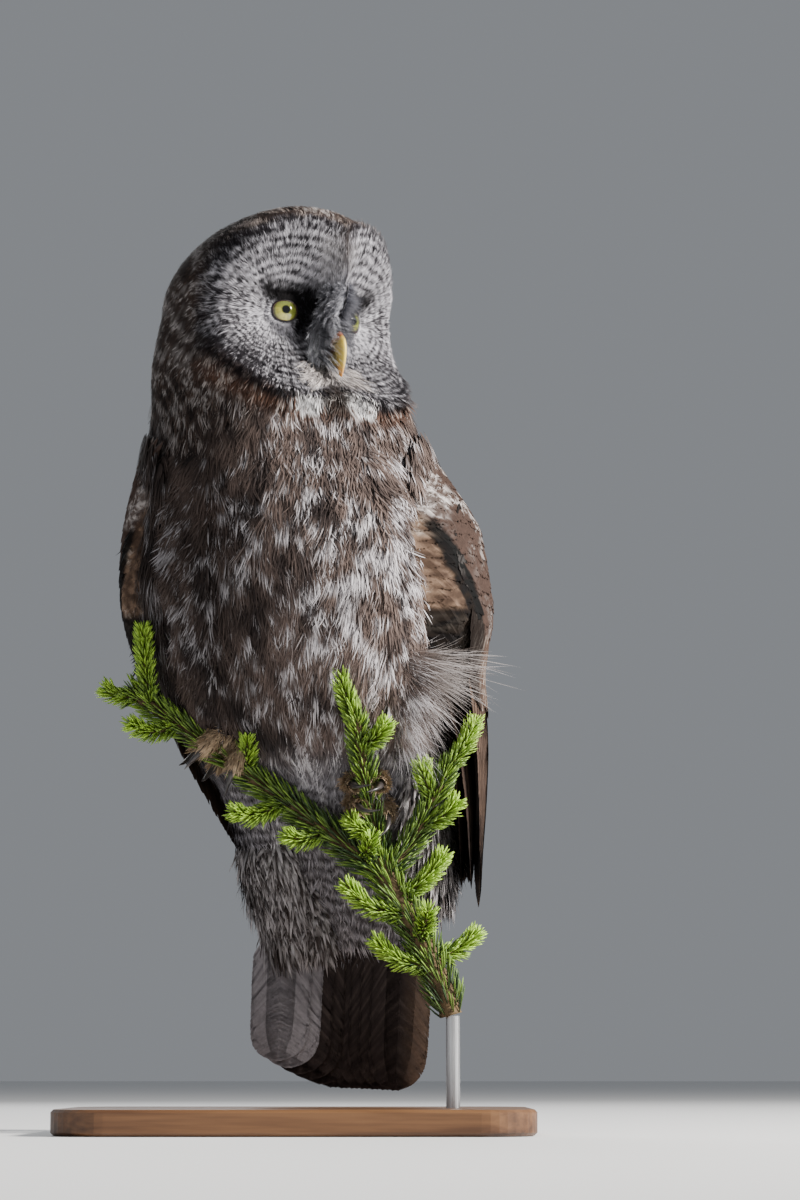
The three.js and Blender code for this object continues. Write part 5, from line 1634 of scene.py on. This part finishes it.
def grip_point(grip, degrees, distance, along):
    """A place round the perch from the palm's side, out from its axis and along it."""
    out = spoke(np.radians(degrees), grip["out"], grip["across"])
    return grip["centre"] + distance * out + grip["along"] * along


def palm_centre(grip):
    """The middle of a foot's palm, on the perch."""
    return grip_point(grip, 0, grip["hold"] + PALM["out"], 0)


def toe_places(grip, toe):
    """Places along a toe, from the palm round the perch."""
    distance = grip["hold"] + TOE_RADIUS
    places = []
    for share in (-0.05, 0.3, 0.65, 1.0):
        away = distance + 3.0 * (1 - share)
        sideways = mix(toe["along"], toe["splay"], share)
        places.append(grip_point(grip, toe["wrap"] * toe["reach"] * share, away, sideways))
    return np.array(places)


def toe_radius(along):
    """A toe's radius: thinner towards its tip, with the swellings of its pads."""
    return TOE_RADIUS * (1 - 0.28 * along + 0.05 * np.cos(6 * np.pi * along))


def tube_roots(line, radii, feathers):
    """Places for small feathers over a tube: point, out, lie, and place round and along it."""
    run, side, other = path_frames(line)
    gap = feathers["gap"]
    length = np.sum(np.linalg.norm(np.diff(line, axis=0), axis=1))
    rows = []
    for index, step in enumerate(np.arange(feathers["from"], feathers["to"], gap / length)):
        at = step * (len(line) - 1)
        low = min(int(at), len(line) - 2)
        centre = mix(line[low], line[low + 1], at - low)
        radius = mix(radii[low], radii[low + 1], at - low)
        count = max(int(2 * np.pi * radius / gap), 4)
        share = staggered(count, index, 0.2) % 1.0
        out = spoke(2 * np.pi * share, side[low], other[low])
        points = centre + out * (radius - feathers["depth"])
        rows.append((points, out, np.broadcast_to(run[low], out.shape), share, np.full(count, step)))
    return tuple(np.concatenate(column) for column in zip(*rows))


def palm_points(grip, grow, rows=14, columns=20):
    """The palm, an oval body on the perch."""
    polar, turn = np.meshgrid(np.linspace(0, np.pi, rows), round_turns(columns), indexing="ij")
    axes = {key: (PALM[key] + grow) * grip[key] for key in PALM}
    return palm_centre(grip) + spoke(polar, axes["out"], spoke(turn, axes["along"], axes["across"]))


def toe_tint(points, grain):
    """Buff grey feathering of the toes, paler at its tips."""
    fine = noise(points[:, 0] / 2.2, (points[:, 2] + points[:, 1]) / 3.1, 71)
    tint = tinted(srgb(136, 114, 94), srgb(224, 198, 164), np.clip(0.55 * fine + 0.35 + 0.3 * grain, 0, 1))
    return tinted(tint, srgb(88, 76, 68), 0.5 * smoothstep(fine, 0.7, 0.95))


TOE_LOOK = dict(BODY_LOOK, strips=7, steps=3, fan=0.7, stand=0.6, ragged=0.16, tangle=0.25, hug=0.012)
PALM_FEATHERS = {"grow": -1.0, "grid": (11, 22), "size": (9.0, 2.2)}
TOE_FEATHERS = {"gap": 2.6, "depth": 1.3, "from": 0.05, "to": 0.99, "size": (9.5, 3.0)}


def fluff(points, out, lie, bake, length, width, look, colour):
    """Loose feathers at given places, as (points, triangles, tint, bake)."""
    lie = lie + rng.normal(0, 0.12, lie.shape)
    lie = unit(lie - np.sum(lie * out, axis=1, keepdims=True) * out)
    feathers = grown(points, out, lie, bake, length, width, look, (0.8, 1.2), (0.7, 0.3))
    points, triangles, spot, bake, grain = feathers
    # Each strip darkens towards its root: partly the feathers' own grey down, partly painted shade between
    # them.
    light = mix(0.55, 1.0, smoothstep(spot["along"], 0.05, 0.7))[:, None]
    return points, triangles, colour(points, np.clip(grain, -1.3, 1.3)) * light, bake


def build_foot(name):
    """A feathered foot: its palm and toes, with small feathers lying towards the claws."""
    grip = GRIPS[name]
    palm = palm_points(grip, -1.2)
    skins = [(palm.reshape(-1, 3), grid_triangles(*palm.shape[:2], wrap=True))]
    parts = []
    share = np.linspace(0, 1, TOE_RINGS)
    radii = toe_radius(share)
    end = np.sqrt(np.clip(1 - (share - 0.9).clip(0) ** 2 / 0.0105, 0.02, 1))
    for index, toe in enumerate(TOES.values()):
        line = smooth_path(toe_places(grip, toe), TOE_RINGS)
        skins.append(tube(line, (radii - TOE_FEATHERS["depth"]) * end, TOE_SIDES))
        points, out, lie, turn, step = tube_roots(line, radii, TOE_FEATHERS)
        bake = np.stack([(index + 0.9 * turn) / 5, 0.05 + 0.4 * step], -1)
        parts.append(fluff(points, out, lie, bake, *TOE_FEATHERS["size"], TOE_LOOK, toe_tint))
    columns = PALM_FEATHERS["grid"][1]
    over = palm_points(grip, PALM_FEATHERS["grow"], *PALM_FEATHERS["grid"])[1:-1].reshape(-1, 3)
    order = np.arange(len(over))
    bake = np.stack([0.82 + 0.16 * (order % columns) / columns, 0.05 + 0.4 * order / len(over)], -1)
    roots = (over, unit(over - palm_centre(grip)), np.broadcast_to(-grip["out"], over.shape), bake)
    parts.append(fluff(*roots, *PALM_FEATHERS["size"], TOE_LOOK, toe_tint))
    for points, triangles in skins:
        order = np.arange(len(points))
        bake = np.stack([order / len(points), 0.6 + 0.3 * (order % TOE_SIDES) / TOE_SIDES], -1)
        # Painted shade: the skin tubes under the small feathers are darkened by half.
        parts.append((points, triangles, toe_tint(points, 0 * order) * 0.5, bake))
    plumage_piece(f"coat_toes_{name}", "toes", [f"foot_{name}"], parts)


def build_claw(foot_name, toe_name):
    """A smooth tapering claw, curving on from the end of its toe round the perch."""
    grip = GRIPS[foot_name]
    toe = TOES[toe_name]
    end = toe_places(grip, toe)[-2:]
    ahead = unit(end[1] - end[0])
    inward = unit(grip["centre"] + grip["along"] * toe["splay"] - end[1])
    route = [end[1] + ahead * (0.4 + a * CLAW_LENGTH) + inward * b * CLAW_LENGTH for a, b in CLAW_LINE]
    radii = mix(*CLAW_RADII, np.linspace(0, 1, CLAW_RINGS) ** 0.9)
    points, triangles = tube(smooth_path(route, CLAW_RINGS), radii, CLAW_SIDES)
    name = f"{foot_name}_{toe_name}"
    piece(f"talon_{name}", "claw", [f"claw_{name}"], CLAW, points, triangles)


def leg_line(name):
    """A leg's line, from the hip down to the palm."""
    ankle = palm_centre(GRIPS[name])
    side = 1 if name == "left" else -1
    hip = ankle + np.array([-side * HIP["inward"], HIP["back"], HIP["up"]])
    middle = (ankle + hip) / 2 + KNEE_SHIFT
    return smooth_path([hip, middle, ankle], LEG_RINGS)


def leg_radius(up):
    """A leg's radius at a share of the way up from the palm."""
    return mix(*LEG_RADII, np.minimum(1, up * 1.3))


def inside_body(points, depth):
    """True where points are deeper than this under the body's surface."""
    section = section_at(np.clip(points[:, 2], COAT_LOW_Z, HEAD_Z))
    off_axis = np.hypot(points[:, 0] - section["x"], points[:, 1] - section["y"])
    return off_axis < reach_at(section, heading_of(points, section) - section["turn"]) - depth


FLANK_LOOK = dict(BODY_LOOK, strips=9, stand=0.3)
MANTLE_LOOK = dict(BODY_LOOK, strips=9, stand=0.16)
VENT_LOOK = dict(BODY_LOOK, strips=11, stand=0.5, round=0.6, ragged=0.02, tangle=0.02, sway=0.03, thick=1.7)
PLUME_OUT = np.array([0.15, -0.97, 0.2])
EDGE_ROW = {"count": 270, "above": (-1, 16), "lift": (-2, 3), "size": (27.0, 7.5)}
MANTLE = {"count": 310, "z": (345, 505), "degrees": (114, 156), "size": (32.0, 8.0)}
VENTS = {"count": 260, "levels": {-1: (152, 214), 1: (186, 262)}, "degrees": (50, 98), "size": (34.0, 10.0)}
VENT_LIFT = -4.0
LOOSE = {
    "count": 190, "z": (270, 344), "degrees": (40, 58), "lift": -4.0, "length": (26.0, 37.0), "width": 7.5,
}
FLANKS = {"count": 420, "z": (300, 486), "degrees": (33, 49), "lift": -3.5, "size": (22.0, 6.0)}


def flank_tint(points, grain):
    """The colours that the body has there, a little brighter."""
    return body_tint(points, heading_of(points, section_at(points[:, 2])), grain + 0.15)


def plume_tint(points, grain):
    """Loose flank plumes: mottled as the flank is, and paler towards the wing."""
    pale = tinted(srgb(92, 82, 77), srgb(196, 189, 187), np.clip(0.45 + 0.5 * grain, 0, 1))
    return tinted(flank_tint(points, grain), pale, smoothstep(points[:, 0], 88, 118))


def swept(out, sweep):
    """Ways down that lean unevenly along the body, towards the owl's left where sweep is 1."""
    level = np.stack([-out[:, 1], out[:, 0], 0 * out[:, 2]], -1)
    return sweep * level * rng.uniform(0.25, 0.6, len(out))[:, None] - 0.9 * UP


def feathers_over(z, heading, lift, size, look, colour, sweep=0):
    """Loose feathers over the body that lie straight down, or lean along it."""
    points, out = body_frame(z, heading, lift)
    lie = swept(out, sweep) if sweep else 0 * out - UP
    return fluff(points, out, lie, unwrapped(z, heading), *size, look, colour)


def vent_tint(points, grain):
    """Grey buff feathers beside the tail's root, with fine wavy dark bars."""
    x, y, z = points.T
    wave = noise(x / 11, (z + 0.4 * y) / 14, 73)
    bars = np.sin(2 * np.pi * ((z + 0.4 * y) / 6.6 + 0.9 * wave + 0.02 * grain))
    pale = tinted(srgb(134, 128, 128), srgb(184, 179, 180), np.clip(0.5 + 0.3 * grain, 0, 1))
    return tinted(srgb(60, 53, 51), pale, smoothstep(bars, -0.6, 0.3))


def build_plumes():
    """Flank feathers over each wing's front edge, long loose plumes over the left one, and vent feathers."""
    parts = []
    count = FLANKS["count"]
    for side in (-1, 1):
        z = rng.uniform(*FLANKS["z"], count)
        heading = side * np.radians(rng.uniform(*FLANKS["degrees"], count) + 0.05 * (400 - z).clip(0))
        roots = (z, heading, FLANKS["lift"])
        parts.append(feathers_over(*roots, FLANKS["size"], FLANK_LOOK, flank_tint, side))
    count = LOOSE["count"]
    z = rng.uniform(*LOOSE["z"], count)
    heading = np.radians(rng.uniform(*LOOSE["degrees"], count))
    points, _ = body_frame(z, heading, LOOSE["lift"])
    sideways = smoothstep(z, 300, 340)
    lie = mix(np.array([0.45, 0.0, -0.9]), np.array([0.97, 0.0, -0.22]), sideways[:, None])
    roots = (points, np.broadcast_to(unit(PLUME_OUT), points.shape), lie, unwrapped(z, heading))
    parts.append(fluff(*roots, mix(*LOOSE["length"], sideways), LOOSE["width"], PLUME_LOOK, plume_tint))
    count = VENTS["count"]
    for side, levels in VENTS["levels"].items():
        z = rng.uniform(*levels, count)
        heading = side * np.radians(rng.uniform(*VENTS["degrees"], count))
        parts.append(feathers_over(z, heading, VENT_LIFT, VENTS["size"], VENT_LOOK, vent_tint))
    plumage_piece("coat_plumes", "plumage", (), parts)


def build_mantle():
    """Feathers of the back over each wing's rear edge, and a row along the wing's upper edge."""
    parts = []
    count = MANTLE["count"]
    for side in (-1, 1):
        z = rng.uniform(*MANTLE["z"], count)
        degrees = rng.uniform(*MANTLE["degrees"], count)
        lift = mix(9.0, -2.0, smoothstep(degrees, 128, 150))
        heading = side * np.radians(degrees)
        parts.append(feathers_over(z, heading, lift, MANTLE["size"], MANTLE_LOOK, flank_tint, -side))
    count = EDGE_ROW["count"]
    for side in (-1, 1):
        share = rng.uniform(0.0, 1.0, count)
        z = shell_top(share) + rng.uniform(*EDGE_ROW["above"], count)
        heading = side * np.radians(mix(SHELL["front"], SHELL["back"], share))
        lift = rng.uniform(*EDGE_ROW["lift"], count)
        parts.append(feathers_over(z, heading, lift, EDGE_ROW["size"], MANTLE_LOOK, flank_tint))
    plumage_piece("coat_mantle", "plumage", (), parts)


def leg_tint(points, grain):
    """The colours that the plumage has there."""
    return plumage_tint(points, np.arctan2(points[:, 0], -points[:, 1]), grain)


def build_legs():
    """The feathered legs, from where they leave the body's plumage down to the toes."""
    parts = []
    radii = leg_radius(np.linspace(1, 0, LEG_RINGS))
    for index, name in enumerate(GRIPS):
        line = leg_line(name)
        points, triangles = tube(line, radii - LEG_SKIN_DEPTH, LEG_SIDES)
        order = np.arange(len(points))
        turn = (order % LEG_SIDES) / LEG_SIDES
        bake = np.stack([0.5 * index + 0.45 * turn, 0.6 + 0.35 * order / len(points)], -1)
        # Painted shade: the skin tube under the leg's feathers is darkened by half.
        parts.append((points, triangles, leg_tint(points, 0 * order) * 0.5, bake))
        points, out, lie, turn, step = tube_roots(line, radii, LEG_FEATHERS)
        bake = np.stack([0.5 * index + 0.45 * turn, 0.05 + 0.5 * step], -1)
        keep = ~inside_body(points, LEG_HIDDEN_FROM)
        roots = (array[keep] for array in (points, out, lie, bake))
        parts.append(fluff(*roots, *LEG_FEATHERS["size"], LOW_LOOK, leg_tint))
    plumage_piece("coat_legs", "plumage", (), parts)


# The perch's bark, needles and short shoots.

GOLDEN_TURN = np.pi * (3 - np.sqrt(5))
# Painted shade and light along each needle's points: dark at its base, brighter along it, brightest at its
# tip.
NEEDLE_SHADE_AND_LIGHT = (0.35, 0.35, 0.35, 0.8, 0.8, 0.8, 1.25, 1.25, 1.25, 1.45)
FOOT_REACH = 24.0
NEEDLE = {
    "length": 13.0, "radius": 0.68, "each_mm": 3.8, "bright": (0.1, 0.45), "lean": 1.3,
    "young_each_mm": 5.5, "young_length": 10.0, "young_bright": (0.3, 1.0),
}


def needle_cells():
    """Triangles of one needle: two rings of cells and a tip, on three rings of three points."""
    cells = []
    for ring in (0, 3):
        for k in range(3):
            a, b = ring + k, ring + (k + 1) % 3
            cells += [(a, b, b + 3), (a, b + 3, a + 3)]
    return cells + [(6, 7, 9), (7, 8, 9), (8, 6, 9)]


NEEDLE_POINTS = 10
NEEDLE_RINGS = ((0, 0.7), (0.35, 1.0), (0.8, 0.85))
# Short shoots: the piece that each grows from, how far along it, its direction and its length.
SHOOTS = [
    ("perch_branch", 0.93, (-0.1, -0.35, 1.0), 54),
    ("perch_branch", 0.97, (-1.0, -0.2, 0.1), 26),
    ("perch_branch", 0.82, (-0.75, -0.5, -0.15), 44),
    ("perch_branch", 0.56, (0.1, -0.75, 0.85), 30),
    ("perch_branch", 0.4, (-0.9, -0.5, -0.35), 48),
    ("perch_branch", 0.24, (-0.85, -0.4, -0.25), 34),
    ("perch_branch", 0.1, (0.3, -0.85, 0.6), 22),
    ("perch_twig_middle", 0.97, (-0.35, -0.3, 0.9), 38),
    ("perch_twig_middle", 0.82, (0.7, -0.5, 0.5), 28),
    ("perch_twig_middle", 0.25, (-0.8, -0.6, 0.3), 26),
    ("perch_twig_right", 0.97, (0.55, -0.1, 0.8), 40),
    ("perch_twig_right", 0.72, (-0.35, -0.5, 0.8), 28),
    ("perch_twig_right", 0.5, (0.85, -0.35, 0.4), 32),
    ("perch_stem", 0.74, (0.75, -0.2, 0.6), 46),
    ("perch_stem", 0.62, (-0.9, -0.3, 0.3), 54),
    ("perch_stem", 0.48, (0.2, -0.9, 0.5), 32),
    ("perch_stem", 0.36, (0.9, 0.1, 0.35), 40),
    ("perch_stem", 0.3, (-0.85, -0.35, 0.25), 50),
]
SHOOT = {
    "bend": (0.55, -0.04), "end": (0.92, 0.12), "radii": (1.9, 1.0), "rings": 24, "sides": 8, "rough": 0.04,
}
LIMB = {"rings": 90, "sides": 16, "rough": 0.035}


def needles(line, radii, each_mm, length, young, lean=1.0):
    """Needles all round a line, leaning towards its tip; young is how bright they are, along it."""
    run, side, other = path_frames(line)
    count = int(np.sum(np.linalg.norm(np.diff(line, axis=0), axis=1)) * each_mm)
    share = (np.arange(count) + rng.uniform(0, 1, count)) / count
    turn = np.arange(count) * GOLDEN_TURN + rng.normal(0, 0.3, count)
    at = share * (len(line) - 1)
    low = np.minimum(at.astype(int), len(line) - 2)
    centre = mix(line[low], line[low + 1], (at - low)[:, None])
    out = spoke(turn, side[low], other[low])
    ahead = unit(out + run[low] * (lean + rng.normal(0, 0.16, count))[:, None])
    size = length * rng.uniform(0.8, 1.15, count) * mix(1.0, 0.75, smoothstep(share, 0.8, 1.0))
    base = centre + out * (np.asarray(radii)[low] - 0.3)[:, None]
    across = unit(np.cross(ahead, out))
    above = np.cross(across, ahead)
    bend = run[low] * (0.22 * size)[:, None]
    rings = []
    for along, thick in NEEDLE_RINGS:
        middle = base + ahead * (size * along)[:, None] + bend * along**2
        for corner in range(3):
            angle = 2 * np.pi * (corner / 3 + 0.25)
            rings.append(middle + NEEDLE["radius"] * thick * spoke(angle, across, above))
    points = np.stack(rings + [base + ahead * size[:, None] + bend], axis=1)
    bright = np.clip(np.interp(share, (0, 1), young) + rng.normal(0, 0.2, count), 0, 1)
    green = tinted(srgb(46, 66, 34), srgb(150, 186, 62), bright)
    # Painted shade at each needle's base and painted light towards its tip.
    tint = green[:, None] * np.array(NEEDLE_SHADE_AND_LIGHT)[:, None]
    return points.reshape(-1, 3), repeated(needle_cells(), count, NEEDLE_POINTS), tint.reshape(-1, 3)


def bark_tint(points, ends):
    """Grey-brown bark with darker scales; cut ends show pale wood."""
    fine = noise(points[:, 0] / 2.0 + points[:, 1] / 1.7, points[:, 2] / 3.0, 81)
    cut = np.zeros(len(points))
    cut[list(ends)] = 1.0
    return tinted(tinted(srgb(66, 54, 40), srgb(122, 102, 74), fine), srgb(206, 178, 132), cut)


def clear_of_foot(green, line, grip_share):
    """Needles without those that would run into the foot that grips the line."""
    if grip_share is None:
        return green
    points, triangles, tint = green
    offset = points.reshape(-1, NEEDLE_POINTS, 3) - line[int(grip_share * (len(line) - 1))]
    away = np.linalg.norm(offset[:, 0], axis=1) >= FOOT_REACH
    ahead = offset[:, -1, 1] - offset[:, 0, 1] < -3.0
    keep = away | ahead
    each = np.repeat(keep, NEEDLE_POINTS)
    cells = len(needle_cells()) * int(keep.sum())
    return points[each], triangles[:cells], tint[each]


def build_perch():
    """Bark, and then needles and short shoots on it."""
    barks = []
    greens = []
    lines = {}
    for name, place in PERCH.items():
        line = smooth_path(place["path"], LIMB["rings"])
        radii = mix(*place["radius"], np.linspace(0, 1, LIMB["rings"]))
        above_cut = (line[:, 2] >= STEM_CUT_LEVEL) | (name != "perch_stem")
        line, radii = line[above_cut], radii[above_cut]
        lines[name] = line
        points, triangles = tube(line, radii - 0.4, LIMB["sides"], LIMB["rough"])
        barks.append((points, triangles, bark_tint(points, (-2, -1))))
        green = needles(line, radii, NEEDLE["each_mm"], NEEDLE["length"], NEEDLE["bright"], NEEDLE["lean"])
        greens.append(clear_of_foot(green, line, GRIP_SHARES.get(name)))
    for name, share, direction, length in SHOOTS:
        start = lines[name][int(share * (len(lines[name]) - 1))]
        reach = unit(np.array(direction, float)) * length
        places = [start + ahead * reach + rise * length * UP for ahead, rise in (SHOOT["bend"], SHOOT["end"])]
        shoot = smooth_path([start, *places], SHOOT["rings"])
        thin = np.linspace(*SHOOT["radii"], SHOOT["rings"])
        points, triangles = tube(shoot, thin, SHOOT["sides"], SHOOT["rough"])
        barks.append((points, triangles, bark_tint(points, [])))
        young = (NEEDLE["young_each_mm"], NEEDLE["young_length"], NEEDLE["young_bright"])
        greens.append(needles(shoot, thin, *young))
    for name, nodes, material, parts in (("bark", PERCH, BARK, barks), ("needles", (), LEAF, greens)):
        piece(f"perch_{name}", "bark", nodes, material, *merged(parts))


def wood_material():
    """Dark oiled wood with grain along X."""
    made, tree, shader = node_material("wood", 0.42, 0.4)
    broad = noise_node(tree, 26.0, 4.0, (0.12, 1.0, 1.0))
    fine = noise_node(tree, 240.0, 5.0, (0.05, 1.0, 1.0))
    blend = tree.nodes.new("ShaderNodeMix")
    blend.inputs["Factor"].default_value = 0.4
    tree.links.new(broad.outputs["Fac"], blend.inputs["A"])
    tree.links.new(fine.outputs["Fac"], blend.inputs["B"])
    stops = [(0.35, srgb(52, 34, 24)), (0.5, srgb(86, 58, 38)), (0.66, srgb(116, 82, 54))]
    shade = ramp_node(tree, blend.outputs["Result"], stops)
    tree.links.new(shade.outputs["Color"], shader.inputs["Base Color"])
    add_bump(tree, shader, fine.outputs["Fac"], 0.25, 0.3)
    return made


def dress_stand():
    """Materials for the two nodes of the display stand, which are shown as they are."""
    brushed = [(0.3, (0.42, 0.42, 0.43)), (0.7, (0.62, 0.62, 0.63))]
    steel = grained_material("steel", 0.34, 0.3, {"Metallic": 1.0}, (500.0, (1, 1, 0.05), 0.15, 0.1), brushed)
    for name, material in (("stand_base", wood_material()), ("stand_rod", steel)):
        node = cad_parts[name]
        node.data.materials.clear()
        node.data.materials.append(material)


CLAW = grained_material(
    "claw", 0.3, 0.5,
    grain=(260.0, (1, 1, 1), 0.3, 0.2),
    stops=[(0.35, srgb(38, 36, 38)), (0.7, srgb(72, 66, 64))],
)
BARK = grained_material("bark", 0.85, 0.2, grain=(420.0, (1, 1, 0.4), 0.6, 0.8))
LEAF = grained_material("needles", 0.5, 0.4, grain=(700.0, (1, 1, 1), 0.6, 0.15))

# Every piece, in the order that the random draws follow.
skin()
build_coat()
build_bristles()
for eye_name, eye_side in (("right", -1), ("left", 1)):
    build_eye(eye_name, eye_side)
    build_lids(eye_name, eye_side)
build_bill("upper")
build_bill("lower")
for wing_side in (-1, 1):
    build_wing(wing_side)
build_tail()
build_legs()
build_plumes()
build_mantle()
for foot in GRIPS:
    build_foot(foot)
    for toe_name in TOES:
        build_claw(foot, toe_name)
build_perch()
dress_stand()


# Stage, lights and camera.

FLOOR = {"size": 40.0, "z": -0.0005, "colour": (226, 226, 226)}
SKY = {"colour": (0.78, 0.82, 0.88), "strength": 0.3}


def build_stage():
    """A plain pale floor and a dim even sky."""
    bpy.ops.mesh.primitive_plane_add(size=FLOOR["size"], location=(0, 0, FLOOR["z"]))
    floor = bpy.context.object
    floor.name = "floor"
    made, _, shader = node_material("floor", 0.8)
    shader.inputs["Base Color"].default_value = (*srgb(*FLOOR["colour"]), 1.0)
    floor.data.materials.append(made)
    world = bpy.data.worlds.new("studio")
    world.use_nodes = True
    background = world.node_tree.nodes["Background"]
    background.inputs["Color"].default_value = (*SKY["colour"], 1.0)
    background.inputs["Strength"].default_value = SKY["strength"]
    bpy.context.scene.world = world


# Each light's name, place, size, power and colour.
LIGHTS = [
    ("key", (2.6, -0.85, 1.7), 0.55, 320.0, (1.0, 0.97, 0.92)),
    ("fill", (-1.9, -1.7, 0.9), 1.6, 4.0, (0.88, 0.94, 1.0)),
    ("back", (-0.6, 2.0, 1.7), 1.2, 30.0, (1.0, 1.0, 1.0)),
]
LIGHT_AIM = (0.0, 0.0, 0.42)


def build_lights():
    """Soft area lights round the owl, each with its place, size, power and colour."""
    for name, place, size, power, colour in LIGHTS:
        data = bpy.data.lights.new(name, "AREA")
        data.size = size
        data.energy = power
        data.color = colour
        light = bpy.data.objects.new(name, data)
        light.location = place
        light.rotation_euler = (Vector(LIGHT_AIM) - Vector(place)).to_track_quat("-Z", "Y").to_euler()
        bpy.context.scene.collection.objects.link(light)


def build_camera():
    """The camera at the photo's viewing angle."""
    data = bpy.data.cameras.new("camera")
    camera = bpy.data.objects.new("camera", data)
    camera.location = CAMERA_PLACE * MM
    camera.rotation_euler = Vector(CAMERA_AIM - CAMERA_PLACE).to_track_quat("-Z", "Y").to_euler()
    data.sensor_width = SENSOR
    data.lens = SENSOR * float(np.linalg.norm(CAMERA_AIM - CAMERA_PLACE)) / FRAME_HEIGHT
    data.clip_start = 0.05
    data.clip_end = 100.0
    bpy.context.scene.collection.objects.link(camera)
    bpy.context.scene.camera = camera


build_stage()
build_lights()
build_camera()
